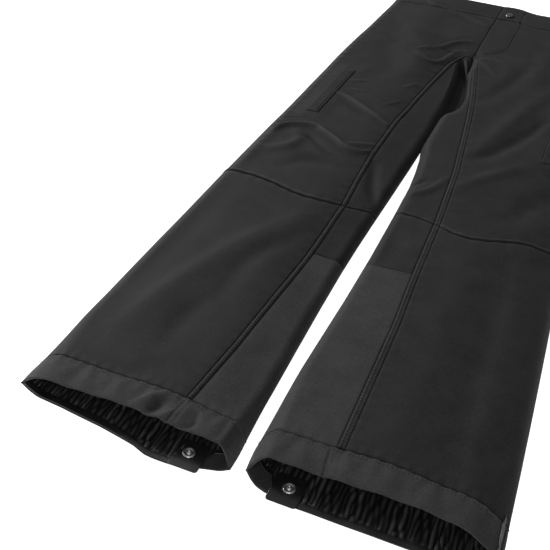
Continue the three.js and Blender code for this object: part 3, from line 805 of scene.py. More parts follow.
class Value:
    """A number socket that can be used in Python sums."""

    def __init__(self, tree: bpy.types.NodeTree, socket: bpy.types.NodeSocket) -> None:
        """Wraps an output socket of a tree."""
        self.tree, self.socket = tree, socket

    def _math(self, operation: str, first: object, second: object = None) -> "Value":
        """Adds one Math node."""
        node = self.tree.nodes.new("ShaderNodeMath")
        node.operation = operation
        for slot, value in zip(node.inputs, (first, second)):
            if isinstance(value, Value):
                self.tree.links.new(value.socket, slot)
            elif value is not None:
                slot.default_value = float(value)
        return Value(self.tree, node.outputs[0])

    def __add__(self, other: object) -> "Value":
        """Sum."""
        return self._math("ADD", self, other)

    def __radd__(self, other: object) -> "Value":
        """Reflected sum."""
        return self._math("ADD", other, self)

    def __sub__(self, other: object) -> "Value":
        """Difference."""
        return self._math("SUBTRACT", self, other)

    def __rsub__(self, other: object) -> "Value":
        """Reflected difference."""
        return self._math("SUBTRACT", other, self)

    def __mul__(self, other: object) -> "Value":
        """Product."""
        return self._math("MULTIPLY", self, other)

    def __rmul__(self, other: object) -> "Value":
        """Reflected product."""
        return self._math("MULTIPLY", other, self)

    def sine(self) -> "Value":
        """Sine."""
        return self._math("SINE", self)

    def size(self) -> "Value":
        """Absolute value."""
        return self._math("ABSOLUTE", self)

    def clamped(self) -> "Value":
        """Kept within 0 to 1."""
        node = self.tree.nodes.new("ShaderNodeClamp")
        self.tree.links.new(self.socket, node.inputs["Value"])
        return Value(self.tree, node.outputs[0])


class Finish:
    """A material under construction: one Principled surface and the nodes that feed it."""

    def __init__(self, name: str, **constants: object) -> None:
        """Makes the material and sets the surface's constants by socket name, with _ for spaces."""
        self.material = bpy.data.materials.new(name)
        self.material.use_nodes = True
        self.tree = self.material.node_tree
        self.surface = self.tree.nodes["Principled BSDF"]
        for key, value in constants.items():
            self.surface.inputs[key.replace("_", " ")].default_value = value

    def node(self, kind: str, settings: dict | None = None, **inputs: object) -> bpy.types.Node:
        """Adds a node.

        Args:
            kind: its type, without the ShaderNode prefix.
            settings: its properties, set first.
            inputs: values or links of its sockets, by name with _ for spaces.

        Returns:
            The node.
        """
        made = self.tree.nodes.new(f"ShaderNode{kind}")
        for key, value in (settings or {}).items():
            setattr(made, key, value)
        for key, value in inputs.items():
            self.plug(made.inputs[key.replace("_", " ")], value)
        return made

    def plug(self, socket: bpy.types.NodeSocket, value: object) -> None:
        """Links a value to a socket, or sets it."""
        if isinstance(value, Value):
            self.tree.links.new(value.socket, socket)
        elif isinstance(value, bpy.types.NodeSocket):
            self.tree.links.new(value, socket)
        else:
            socket.default_value = value

    def value(self, socket: bpy.types.NodeSocket) -> Value:
        """A socket as a number for sums."""
        return Value(self.tree, socket)

    def weave_plan(self) -> tuple[Value, Value]:
        """The cloth's flat coordinates across and along, in metres."""
        place = self.node("TexCoord")
        split = self.node("SeparateXYZ", Vector=place.outputs["UV"])
        return self.value(split.outputs["X"]), self.value(split.outputs["Y"])

    def noise(self, scale: float, detail: float = 2.0, roughness: float = 0.5) -> Value:
        """Noise over the object's own coordinates, from 0 to 1."""
        place = self.node("TexCoord").outputs["Object"]
        made = self.node("TexNoise", Vector=place, Scale=scale, Detail=detail, Roughness=roughness)
        return self.value(made.outputs["Fac"])

    def crest(self) -> Value:
        """How far the cloth stands above its surroundings there, in mm."""
        return self.value(self.node("Attribute", {"attribute_name": "crest"}).outputs["Fac"])

    def mixed(self, factor: Value, first: tuple, second: tuple) -> bpy.types.NodeSocket:
        """A colour between two, by a factor."""
        mix = self.node("Mix", {"data_type": "RGBA"})
        self.plug(mix.inputs[0], factor)
        self.plug(mix.inputs[6], (*first, 1))
        self.plug(mix.inputs[7], (*second, 1))
        return mix.outputs[2]

    def bump(self, height: Value, distance: float, strength: float = 1.0) -> None:
        """Feeds the surface's normal from a height."""
        made = self.node("Bump", None, Height=height, Distance=distance, Strength=strength)
        self.plug(self.surface.inputs["Normal"], made.outputs["Normal"])


@dataclass(frozen=True)
class WovenCloth:
    """A woven cloth: its colours, thread pitch, depth of weave and gloss, with painted shade in its hollows
    and painted highlight on its crests.
    """

    name: str
    dark: tuple[float, float, float]
    light: tuple[float, float, float]
    pitch: float
    depth: float
    roughness: float
    sheen: float
    # how strongly the crest paints shade into the colour of hollows and highlight onto ridges
    painted_crest_shading_gain: float = 0.35
    fleck: float = 0.5

    def material(self) -> bpy.types.Material:
        """Builds the material."""
        made = Finish(
            self.name, Sheen_Weight=self.sheen, Sheen_Roughness=0.45, Specular_IOR_Level=0.2,
        )
        u, v = made.weave_plan()
        turn = 2 * math.pi / (self.pitch * MM)
        warp, weft = (u * turn).sine(), (v * turn).sine()
        weave = warp * weft
        mottle = made.noise(38.0, 3.0, 0.6)
        grain = made.noise(1500.0, 1.0)
        slub = made.noise(430.0, 2.0, 0.7)
        # painted shade and highlight: the base colour is darkened where the cloth lies below its surroundings
        # (creases, seam grooves, the hollow between the thighs) and lightened on ridges; the same amount also
        # makes crests a little glossier
        painted_crest_shading = made.crest() * self.painted_crest_shading_gain
        speck = (grain - 0.5) * self.fleck + (slub - 0.5) * 1.1
        tone = ((mottle - 0.5) * 0.9 + speck + weave * 0.12 + 0.42 + painted_crest_shading).clamped()
        made.plug(made.surface.inputs["Base Color"], made.mixed(tone, self.dark, self.light))
        gloss = (mottle - 0.5) * 0.12 + self.roughness - painted_crest_shading * 0.08
        made.plug(made.surface.inputs["Roughness"], gloss.clamped())
        made.bump(weave * 0.5 + grain * 0.6, self.depth * MM)
        return made.material


@dataclass(frozen=True)
class CoatedNylon:
    """Thin coated nylon with a ripstop grid and a soft shine, with painted highlight on the ridges of its
    gathers and painted shade between them.
    """

    name: str = "gaiter_nylon"
    dark: tuple[float, float, float] = (0.005, 0.005, 0.006)
    light: tuple[float, float, float] = (0.14, 0.14, 0.146)
    pitch: float = 4.0

    def material(self) -> bpy.types.Material:
        """Builds the material."""
        made = Finish(self.name, Specular_IOR_Level=0.5, Sheen_Weight=0.12, Sheen_Roughness=0.35)
        u, v = made.weave_plan()
        turn = 2 * math.pi / (self.pitch * MM)
        grid = 1 - ((u * turn).sine().size() * (v * turn).sine().size())
        cloud = made.noise(55.0, 3.0, 0.6)
        # painted highlight on the ridges of the gathers and painted shade in their troughs, from the crest
        tone = ((cloud - 0.5) * 0.14 + 0.02 + made.crest() * 0.45).clamped()
        made.plug(made.surface.inputs["Base Color"], made.mixed(tone, self.dark, self.light))
        made.plug(made.surface.inputs["Roughness"], (cloud * 0.2 + 0.32).clamped())
        made.bump(grid * 0.4 + made.noise(700.0) * 0.5, 0.12 * MM)
        return made.material


@dataclass(frozen=True)
class CastMetal:
    """Satin metal with fine brushing and slight tarnish."""

    name: str
    bright: tuple[float, float, float]
    dull: tuple[float, float, float]
    roughness: float

    def material(self) -> bpy.types.Material:
        """Builds the material."""
        made = Finish(self.name, Metallic=1.0)
        cloud = made.noise(260.0, 3.0, 0.6)
        scratch = made.noise(4200.0, 1.0)
        made.plug(made.surface.inputs["Base Color"], made.mixed(cloud.clamped(), self.bright, self.dull))
        made.plug(made.surface.inputs["Roughness"], (scratch * 0.12 + cloud * 0.1 + self.roughness).clamped())
        made.bump(scratch, 0.02 * MM)
        return made.material


@dataclass(frozen=True)
class SpunThread:
    """Twisted sewing thread."""

    name: str = "sewing_thread"
    dark: tuple[float, float, float] = (0.022, 0.022, 0.024)
    light: tuple[float, float, float] = (0.048, 0.048, 0.051)

    def material(self) -> bpy.types.Material:
        """Builds the material."""
        made = Finish(self.name, Specular_IOR_Level=0.35, Sheen_Weight=0.3)
        grain = made.noise(2600.0, 1.0)
        made.plug(made.surface.inputs["Base Color"], made.mixed(grain, self.dark, self.light))
        made.plug(made.surface.inputs["Roughness"], (grain * 0.2 + 0.5).clamped())
        return made.material


@dataclass
class Wardrobe:
    """Every finish of the garment, made once."""

    softshell: bpy.types.Material = field(init=False)
    kick: bpy.types.Material = field(init=False)
    tape: bpy.types.Material = field(init=False)
    lining: bpy.types.Material = field(init=False)
    nylon: bpy.types.Material = field(init=False)
    thread: bpy.types.Material = field(init=False)
    gunmetal: bpy.types.Material = field(init=False)
    nickel: bpy.types.Material = field(init=False)
    coil: bpy.types.Material = field(init=False)

    def __post_init__(self) -> None:
        """Builds the materials."""
        self.softshell = WovenCloth(
            "softshell", dark=(0.0095, 0.0095, 0.0105), light=(0.030, 0.030, 0.032),
            pitch=0.9, depth=0.10, roughness=0.74, sheen=0.04).material()
        self.kick = WovenCloth(
            "kick_weave", dark=(0.024, 0.024, 0.0255), light=(0.059, 0.059, 0.062),
            pitch=1.4, depth=0.16, roughness=0.78, sheen=0.05, fleck=0.8).material()
        self.tape = WovenCloth(
            "seam_tape", dark=(0.0095, 0.0095, 0.0105), light=(0.030, 0.030, 0.032),
            pitch=0.8, depth=0.08, roughness=0.72, sheen=0.04).material()
        self.lining = WovenCloth(
            "brushed_lining", dark=(0.007, 0.007, 0.008), light=(0.018, 0.018, 0.02),
            pitch=1.1, depth=0.18, roughness=0.9, sheen=0.2).material()
        self.nylon = CoatedNylon().material()
        self.thread = SpunThread().material()
        self.gunmetal = CastMetal("gunmetal", (0.34, 0.34, 0.355), (0.16, 0.16, 0.168), 0.3).material()
        self.nickel = CastMetal("satin_nickel", (0.78, 0.78, 0.79), (0.5, 0.5, 0.51), 0.22).material()
        self.coil = CastMetal("zip_coil", (0.03, 0.03, 0.033), (0.014, 0.014, 0.016), 0.4).material()


# --------------------------------------------------------------------------------------------- the legs


def bend_at_knee(piece: bpy.types.Object, side: Side) -> None:
    """Bakes a piece's transform into its mesh; the lower leg's node and the knee's reach are looked up but
    not used.
    """
    side.node("lower_leg")
    tuple(to_row(0.0, LEVELS.knee + KNEE_BEND_REACH, HEIGHT))
    tuple(to_row(0.0, LEVELS.knee - KNEE_BEND_REACH, HEIGHT))
    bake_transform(piece)


@dataclass
class Leg:
    """One leg: its cloth panels, its seams, its hem band and their stitching."""

    tailor: Tailor
    wardrobe: Wardrobe
    pitch: float = 2.0
    strip_lift: float = 0.75
    fold_over: float = 34.0

    def __post_init__(self) -> None:
        """Names the parts of the leg that are used often."""
        self.side, self.hand = self.tailor.side, self.tailor.hand
        self.body = self.side.node("lower_leg")

    def cells(self, length: float) -> int:
        """How many cells of about the usual pitch cover a length."""
        return max(2, round(length / self.pitch))

    def build(self) -> None:
        """Makes every piece of the leg."""
        self.front_panels()
        self.inner_panels()
        self.back_panels()
        self.seam_strips()
        self.knee_ribbon()
        self.hem_band()
        self.topstitches()

    def _between(self, first: Array, second: Array, u: Array, level: Array, rims: tuple[bool, bool]) -> Array:
        """Places from the smaller of two lines to the larger, whichever leg it is."""
        if self.hand < 0:
            first, second, rims = second, first, rims[::-1]
        return self.tailor.across_front(u, level, first, second, rims)

    def _panel(
        self, name: str, node: str, span: tuple[float, float], lines: Callable, rims: tuple[bool, bool],
        outer: bpy.types.Material, slot: str, width: float, crosses_knee: bool = True,
    ) -> bpy.types.Object:
        """A front panel between two lines.

        Args:
            name: the piece's name without its side.
            node: the CAD node that it stands for, without its side.
            span: its lowest and highest level.
            lines: gives its inner and outer line at each level.
            rims: whether the inner and the outer line lie on the leg's rim.
            outer: its finish.
            slot: not used.
            width: its usual width, for the number of columns.
            crosses_knee: whether it crosses the knee, in which case its transform is only baked; otherwise it
                rides on the lower leg.

        Returns:
            The piece.
        """
        tailor = self.tailor

        def surface(u: Array, v: Array) -> tuple[Array, Array, Array]:
            level = span[0] + (span[1] - span[0]) * v
            x = self._between(*lines(level), u, level, rims)
            return tailor.front(x, tailor.along_knee(level, x))

        cloth = Cloth(self.side.node(name), outer=outer, inner=self.wardrobe.lining)
        piece = cloth.grid(self.cells(1.25 * width), self.cells(span[1] - span[0]), surface)
        under = "back_thigh_cloth" if span[1] > LEVELS.knee else "back_shin_cloth"
        cloth.declare(piece, rests_on=[self.side.node(under)])
        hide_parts(self.side.node(node))
        if crosses_knee:
            bend_at_knee(piece, self.side)
        else:
            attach(piece, self.body)
        LOG.info("%s: %d faces", piece.name, len(piece.data.polygons))
        return piece

    def _inner_edge(self, level: Array) -> Array:
        """The leg's inner rim."""
        return self.tailor.edges(level)[1 if self.hand < 0 else 0]

    def _outer_edge(self, level: Array) -> Array:
        """The leg's outer rim."""
        return self.tailor.edges(level)[0 if self.hand < 0 else 1]

    def thigh_border(self, level: Array) -> Array:
        """The front thigh panel's border towards the middle: the seam strip, then the fly."""
        strip = self.tailor.strip(level)[1]
        if self.side is Side.RIGHT:
            fly = CENTRE - 2.2 + 0 * level
        else:
            fly = Fly.outline(level) - 1.5
        at_strip = level < CROTCH_POINT
        return np.where(at_strip, strip, fly)

    def front_panels(self) -> None:
        """The front thigh panel and the front shin panel."""
        softshell = self.wardrobe.softshell
        self._panel(
            "front_thigh_cloth", "front_thigh_panel", (LEVELS.knee, LEVELS.band),
            lambda y: (self.thigh_border(y), self._outer_edge(y)), (False, True),
            softshell, "softshell", 175)
        self._panel(
            "front_shin_cloth", "front_shin_panel", (LEVELS.hem_band, LEVELS.knee),
            lambda y: (self.tailor.strip(y)[1], self._outer_edge(y)), (False, True),
            softshell, "softshell", 165)

    def inner_panels(self) -> None:
        """The thigh gusset, the inner shin panel and the kick patch."""
        wardrobe = self.wardrobe
        inner = lambda y: (self._inner_edge(y), self.tailor.strip(y)[0])
        self._panel(
            "thigh_gusset_cloth", "inner_thigh_gusset", (LEVELS.knee, CROTCH_POINT), inner, (True, False),
            wardrobe.softshell, "softshell", 52)
        self._panel(
            "inner_shin_cloth", "inner_shin_panel", (LEVELS.patch, LEVELS.knee), inner, (True, False),
            wardrobe.softshell, "softshell", 58)
        self._panel(
            "kick_patch_cloth", "kick_patch", (LEVELS.hem_band, LEVELS.patch), inner, (True, False),
            wardrobe.kick, "kick_panel", 68, crosses_knee=False)

    def back_panels(self) -> None:
        """The back thigh panel with half the seat, and the back shin panel."""
        tailor, wardrobe = self.tailor, self.wardrobe
        spans = {"back_thigh": (LEVELS.knee, LEVELS.band), "back_shin": (LEVELS.hem_band, LEVELS.knee)}
        for name, span in spans.items():

            def surface(u: Array, v: Array, span: tuple[float, float] = span) -> tuple[Array, Array, Array]:
                level = span[0] + (span[1] - span[0]) * v
                low, high = tailor.edges(level)
                x = tailor.across_front(u, level, high, low, (True, True))
                return tailor.back(x, level)

            cloth = Cloth(self.side.node(f"{name}_cloth"), outer=wardrobe.softshell, inner=wardrobe.lining)
            piece = cloth.grid(110, round((span[1] - span[0]) / 4), surface)
            cloth.declare(piece, rests_on=["floor"])
            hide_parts(self.side.node(f"{name}_panel"))
            bend_at_knee(piece, self.side)
            LOG.info("%s: %d faces", piece.name, len(piece.data.polygons))

    def seam_strips(self) -> None:
        """The felled princess seam, split at the knee."""
        tailor = self.tailor
        for part, span in (("thigh", (LEVELS.knee, CROTCH_POINT)), ("shin", (LEVELS.hem_band, LEVELS.knee))):

            def surface(u: Array, v: Array, span: tuple[float, float] = span) -> tuple[Array, Array, Array]:
                level = span[0] + (span[1] - span[0]) * v
                inner, outer = tailor.strip(level)
                tuck = 2.6 * self.hand
                x = self._between(inner - tuck, outer + tuck, u, level, (False, False))
                inside = np.minimum(self.hand * (x - inner), self.hand * (outer - x))
                round_over = np.where(self.hand * (outer - x) < self.hand * (x - inner), 2.6, 1.0)
                lift = self.strip_lift * rounded(inside, round_over, 0.5) - 1.6 * smooth(-inside / 1.4)
                return tailor.front(x, tailor.along_knee(level, x), lift)

            cloth = Cloth(self.side.node(f"princess_strip_{part}"), outer=self.wardrobe.tape, thickness=0.8)
            piece = cloth.grid(24, self.cells(span[1] - span[0]), surface)
            cloth.declare(piece, rests_on=[self.side.node(f"front_{part}_cloth")])
            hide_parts(self.side.node(f"princess_seam_strip_{part}"))
            bend_at_knee(piece, self.side)
            LOG.info("%s: %d faces", piece.name, len(piece.data.polygons))

    def knee_ribbon(self) -> None:
        """The topstitched allowance on the waist side of the knee seam."""
        tailor = self.tailor
        width, tuck = 11.2, 2.0

        def surface(u: Array, v: Array) -> tuple[Array, Array, Array]:
            knee = np.full(u.shape, LEVELS.knee)
            x = self._between(tailor.strip(knee)[1], self._outer_edge(knee), u, knee, (False, True))
            up = width * v - tuck + 1.2
            inside = np.minimum(up - 1.2, 6.0 - up)
            lift = 0.9 * rounded(inside, 0.9, 0.4) - 1.6 * smooth(-inside / 1.2)
            return tailor.front(x, tailor.knee_line(x) + up, lift)

        cloth = Cloth(self.side.node("knee_ribbon"), outer=self.wardrobe.tape, thickness=0.7)
        piece = cloth.grid(110, 12, surface)
        cloth.declare(piece, rests_on=[self.side.node("front_thigh_cloth")])
        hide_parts(self.side.node("knee_seam_strip"))
        bend_at_knee(piece, self.side)

    def hem_band(self) -> None:
        """The hem band: one ring folded up inside the leg."""
        tailor = self.tailor
        height = LEVELS.hem_band - LEVELS.hem
        turn_share = 0.12
        thick = 2.2

        def surface(u: Array, v: Array) -> tuple[Array, Array, Array]:
            outside = 0.5 - turn_share / 2
            down = np.clip(v / outside, 0, 1)
            turn = np.clip((v - outside) / turn_share, 0, 1)
            up = np.clip((v - outside - turn_share) / outside, 0, 1)
            radius = thick / 2
            level = LEVELS.hem_band - (height - radius) * down - radius * np.sin(np.pi * turn)
            level = level + (self.fold_over - radius) * up
            depth = radius * (1 - np.cos(np.pi * turn))
            puff = 0.5 * np.sin(np.pi * np.clip(down, 0, 1)) * (turn <= 0)
            return tailor.ring(u, level, depth - puff)

        cloth = Cloth(self.side.node("hem_band_cloth"), outer=self.wardrobe.kick, inner=self.wardrobe.lining,
                      thickness=0.7)
        piece = cloth.grid(420, 52, lambda u, v: surface(1 - u, v), closed=True)
        cloth.declare(piece, held="folded", rests_on=["floor"])
        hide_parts(self.side.node("hem_band"))
        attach(piece, self.body)
        LOG.info("%s: %d faces", piece.name, len(piece.data.polygons))

    def topstitches(self) -> None:
        """Rows of thread along the leg's seams."""
        tailor = self.tailor
        raised = self.strip_lift + 0.75

        def along(levels: Array, offset_from: Callable[[Array], Array], lift: float) -> Array:
            """A line of stitches down the leg, in metres."""
            x = offset_from(levels)
            return to_row(*tailor.front(x, tailor.along_knee(levels, x), lift))

        knee_group = Stitcher(self.side.node("knee_and_princess_stitches"), self.wardrobe.thread)
        levels = np.linspace(LEVELS.hem_band, CROTCH_POINT - 4, 500)
        for edge, way in ((0, 1), (1, -1)):
            line = lambda y, edge=edge, way=way: tailor.strip(y)[edge] + self.hand * way * 1.8
            knee_group.sew(along(levels, line, raised))
        knee = np.full(260, LEVELS.knee)
        share = np.linspace(0, 1, 260)
        x = self._between(tailor.strip(knee)[1], self._outer_edge(knee), share, knee, (False, True))
        for off, lift in ((1.5, 0.85), (3.8, 0.85)):
            knee_group.sew(to_row(*tailor.front(x, tailor.knee_line(x) + off + 1.0, lift)), 0.24)
        piece = knee_group.piece()
        bend_at_knee(piece, self.side)
        hem_group = Stitcher(self.side.node("hem_and_patch_stitches"), self.wardrobe.thread)
        ring = np.linspace(0.015, 0.485, 500)
        for level in (LEVELS.hem_band - 2.2, LEVELS.hem_band - 4.6):
            x, y, z = tailor.ring(ring, np.full(ring.shape, level), -0.5)
            hem_group.sew(to_row(x, y, z))
        patch_x = self._between(
            self._inner_edge(np.array([LEVELS.patch])), tailor.strip(np.array([LEVELS.patch]))[0],
            np.linspace(0.15, 0.98, 60), np.full(60, LEVELS.patch), (True, False))
        hem_group.sew(to_row(*tailor.front(patch_x, tailor.patch_line(patch_x) - 2.4, 0.2)))
        rise = np.linspace(LEVELS.hem + 2, LEVELS.hem_band - 5, 30)
        for off in (-2.2, 2.2):
            hem_group.sew(to_row(*tailor.front(tailor.hem_join(rise) + off, rise, 0.45)))
        piece = hem_group.piece()
        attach(piece, self.body)
        LOG.info("stitches on the %s leg: %d", self.side.value, knee_group.count + hem_group.count)


class Fly:
    """The fly flap's outline, which the left front panel also follows."""

    edge = CENTRE - 2.0
    width = 40.0
    bottom = 24.0
    curve = 36.0

    @classmethod
    def outline(cls, level: Array) -> Array:
        """The flap's x towards the wearer's left at each level."""
        drop = np.clip((cls.bottom + cls.curve - level) / cls.curve, 0, 1)
        return cls.edge + cls.width * np.sqrt(np.maximum(0, 1 - drop * drop))


# ------------------------------------------------------------------------------------------------ gaiters


@dataclass
class Gaiter:
    """The snow gaiter inside one hem: skirt, elastic band, snap tab and ring stud."""

    tailor: Tailor
    wardrobe: Wardrobe
    band_height: float = 44.0
    recess: float = -1.0
    gathers: int = 78
    depth: float = 5.0
    front_rise: float = 13.0

    def __post_init__(self) -> None:
        """Names what is used often."""
        self.side, self.hand = self.tailor.side, self.tailor.hand
        self.low = LEVELS.hem + self.recess
        self.high = self.low + self.band_height
        self.tab_edge = min(abs(corner.x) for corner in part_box(self.side.node("gaiter_snap_tab"))) / MM + 4

    def build(self) -> None:
        """Makes the gaiter's pieces."""
        self.elastic_band()
        self.skirt()
        self.tab()
        self.stud()

    def _sunk(self, u: Array) -> Array:
        """How much further up the leg the band lies: past the tab and on the front it draws back.

        Args:
            u: place round the leg, 0 to 1.

        Returns:
            The distance up the leg, in mm; below 0 where the band peeps out.
        """
        across = self.hand * self.tailor.ring(u, np.full(u.shape, self.low))[0]
        past_tab = smooth((self.tab_edge - across) / 14)
        peep = 4.0 * smooth((self.tab_edge + 85 - across) / 45) if self.hand < 0 else 4.5
        at_back = 18.0 * past_tab - peep * (1 - past_tab)
        on_front = self._on_front(u)
        return at_back + (self.front_rise - at_back) * on_front

    @staticmethod
    def _on_front(u: Array) -> Array:
        """1 on the front half of the ring, 0 on its back half."""
        return smooth((0.5 - u) / 0.03) * smooth(u / 0.03)

    def _pleats(self, u: Array, rise: Array) -> Array:
        """The height of the gathers, in mm, fading to nothing at the flat binding.

        Args:
            u: place round the leg, 0 to 1.
            rise: 0 at the band's lower edge to 1 at its top.

        Returns:
            The height of the cloth there.
        """
        wander = 0.7 * np.sin(2 * np.pi * (9 * u + 0.6 * rise))
        wander = wander + 0.45 * np.sin(2 * np.pi * (23 * u - 0.9 * rise))
        main = np.sin(2 * np.pi * self.gathers * u + 2.4 * wander)
        minor = np.sin(2 * np.pi * 1.62 * self.gathers * u - 3.1 * wander + 2 * rise)
        uneven = 0.75 + 0.35 * np.sin(2 * np.pi * 17 * u + 1.3)
        return uneven * (0.72 * main + 0.34 * minor)

    def elastic_band(self) -> None:
        """The gathered band with its flat binding along the lower edge."""
        tailor = self.tailor
        binding = 0.15

        def surface(u: Array, v: Array) -> tuple[Array, Array, Array]:
            level = self.low + self.band_height * v + self._sunk(u) * (1 - v)
            grip = smooth((v - binding) / 0.12) * (1 - 0.55 * smooth((v - 0.86) / 0.14))
            on_front = self._on_front(u)
            height = (2.5 - 1.5 * on_front) * self._pleats(u, v) * grip - 0.5 * (v < binding)
            x, y, z = tailor.ring(u, level, self.depth - 0.8 * on_front - height * 0.8)
            return x, y + 1.2 * self._pleats(u, v) * grip * 0.3, np.maximum(z, 3.4)

        cloth = Cloth(self.side.node("gaiter_band_cloth"), outer=self.wardrobe.nylon, thickness=0.6)
        piece = cloth.grid(1100, 30, lambda u, v: surface(1 - u, 1 - v), closed=True)
        cloth.declare(piece, held="gathered", rests_on=[self.side.node("hem_band_cloth")])
        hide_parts(self.side.node("gaiter_elastic_band"))
        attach(piece, self.side.node("gaiter"))
        LOG.info("%s: %d faces", piece.name, len(piece.data.polygons))

    def skirt(self) -> None:
        """The skirt from its seam inside the shin down to the elastic band."""
        tailor = self.tailor
        top = -640.0

        def surface(u: Array, v: Array) -> tuple[Array, Array, Array]:
            level = self.high + (top - self.high) * v
            soft = (1 - smooth(v / 0.8))
            height = 1.3 * self._pleats(u, 1 + 2 * v) * soft
            inset = 2.4 + (self.depth - 2.4) * smooth((1 - v) * 1.6)
            x, y, z = tailor.ring(u, level, inset - height * 0.8)
            return x, y, np.maximum(z, 2.4)

        cloth = Cloth(self.side.node("gaiter_skirt_cloth"), outer=self.wardrobe.nylon, thickness=0.5)
        piece = cloth.grid(760, 44, lambda u, v: surface(1 - u, 1 - v), closed=True)
        cloth.declare(piece, held="gathered", rests_on=[self.side.node("back_shin_cloth")])
        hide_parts(self.side.node("snow_gaiter_skirt"))
        self.side.node("lower_leg")
        self.side.node("gaiter")
        tuple(to_row(0.0, top - 10, 0.0))
        tuple(to_row(0.0, self.high - HEM_BACK_DROP, 0.0))
        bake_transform(piece)
        LOG.info("%s: %d faces", piece.name, len(piece.data.polygons))

    def tab(self) -> None:
        """The flat snap tab at the end of the gathers."""
        low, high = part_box(self.side.node("gaiter_snap_tab"))
        shell = bmesh.new()
        bmesh.ops.create_cube(shell, size=1)
        size = high - low
        middle = (low + high) / 2
        bmesh.ops.scale(shell, vec=(size.x, size.y, size.z), verts=shell.verts)
        uprights = [e for e in shell.edges if abs((e.verts[0].co - e.verts[1].co).z) > 0.5 * size.z]
        soften(shell, uprights, 3.2, 6)
        soften(shell, sharp_edges(shell, 0.8), 0.5, 3)
        bmesh.ops.translate(shell, vec=middle, verts=shell.verts)
        mesh = bpy.data.meshes.new("tab")
        shell.to_mesh(mesh)
        shell.free()
        lay_flat(mesh)
        mesh.materials.append(self.wardrobe.nylon)
        piece = bpy.data.objects.new(self.side.node("gaiter_tab_cloth"), mesh)
        bpy.context.scene.collection.objects.link(piece)
        self.side.node("gaiter_band_cloth")
        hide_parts(self.side.node("gaiter_snap_tab"))
        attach(piece, self.side.node("gaiter_tab"))

    def stud(self) -> None:
        """The bright ring stud on the tab."""
        low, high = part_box(self.side.node("gaiter_snap_stud"))
        centre = Vector(((low.x + high.x) / 2, (low.y + high.y) / 2, low.z))
        radius = 1.12 * (high.x - low.x) / 2
        height = high.z - low.z
        shares = ((1.0, 0.0), (1.0, 0.35), (0.93, 0.62), (0.8, 0.72), (0.62, 0.66), (0.5, 0.5), (0.42, 0.42),
                  (0.36, 0.45), (0.33, 0.85), (0.28, 0.98), (0.18, 1.0), (0.12, 0.9), (0.1, 0.55))
        profile = [(a * radius, b * height) for a, b in shares]
        piece = turned(self.side.node("ring_stud"), profile, centre, self.wardrobe.nickel)
        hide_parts(self.side.node("gaiter_snap_stud"))
        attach(piece, self.side.node("gaiter_tab"))


def sharp_edges(shell: bmesh.types.BMesh, least: float) -> list[bmesh.types.BMEdge]:
    """The edges that turn by more than an angle in radians."""
    return [e for e in shell.edges if len(e.link_faces) == 2 and e.calc_face_angle(0) > least]


def soften(
    shell: bmesh.types.BMesh, edges: Sequence[bmesh.types.BMEdge], radius: float, segments: int,
) -> None:
    """Rounds edges of a shell to a radius in mm."""
    bmesh.ops.bevel(
        shell, geom=edges, offset=radius * MM, segments=segments, affect="EDGES", profile=0.5, material=-1)


def turned(
    name: str, profile: Sequence[tuple[float, float]], centre: Vector, finish: bpy.types.Material,
    steps: int = 64,
) -> bpy.types.Object:
    """A round piece spun about an upright axis.

    Args:
        name: the piece's name.
        profile: radius and height pairs from the outside in, in metres.
        centre: the foot of its axis, in the frame.
        finish: its material.
        steps: sides of the turn.

    Returns:
        The piece.
    """
    shell = bmesh.new()
    points = [shell.verts.new((r, 0, z)) for r, z in profile]
    edges = [shell.edges.new(pair) for pair in zip(points, points[1:])]
    bmesh.ops.spin(
        shell, geom=points + edges, cent=(0, 0, 0), axis=(0, 0, 1), angle=2 * math.pi, steps=steps,
        use_merge=True)
    bmesh.ops.remove_doubles(shell, verts=shell.verts, dist=1e-7)
    rims = [e for e in shell.edges if e.is_boundary]
    bmesh.ops.holes_fill(shell, edges=rims, sides=0)
    bmesh.ops.recalc_face_normals(shell, faces=shell.faces)
    bmesh.ops.translate(shell, vec=centre, verts=shell.verts)
    mesh = bpy.data.meshes.new(name)
    shell.to_mesh(mesh)
    shell.free()
    for polygon in mesh.polygons:
        polygon.use_smooth = len(polygon.vertices) <= 4
    mesh.materials.append(finish)
    piece = bpy.data.objects.new(name, mesh)
    bpy.context.scene.collection.objects.link(piece)
    return piece


# --------------------------------------------------------------------------------------------- the waist


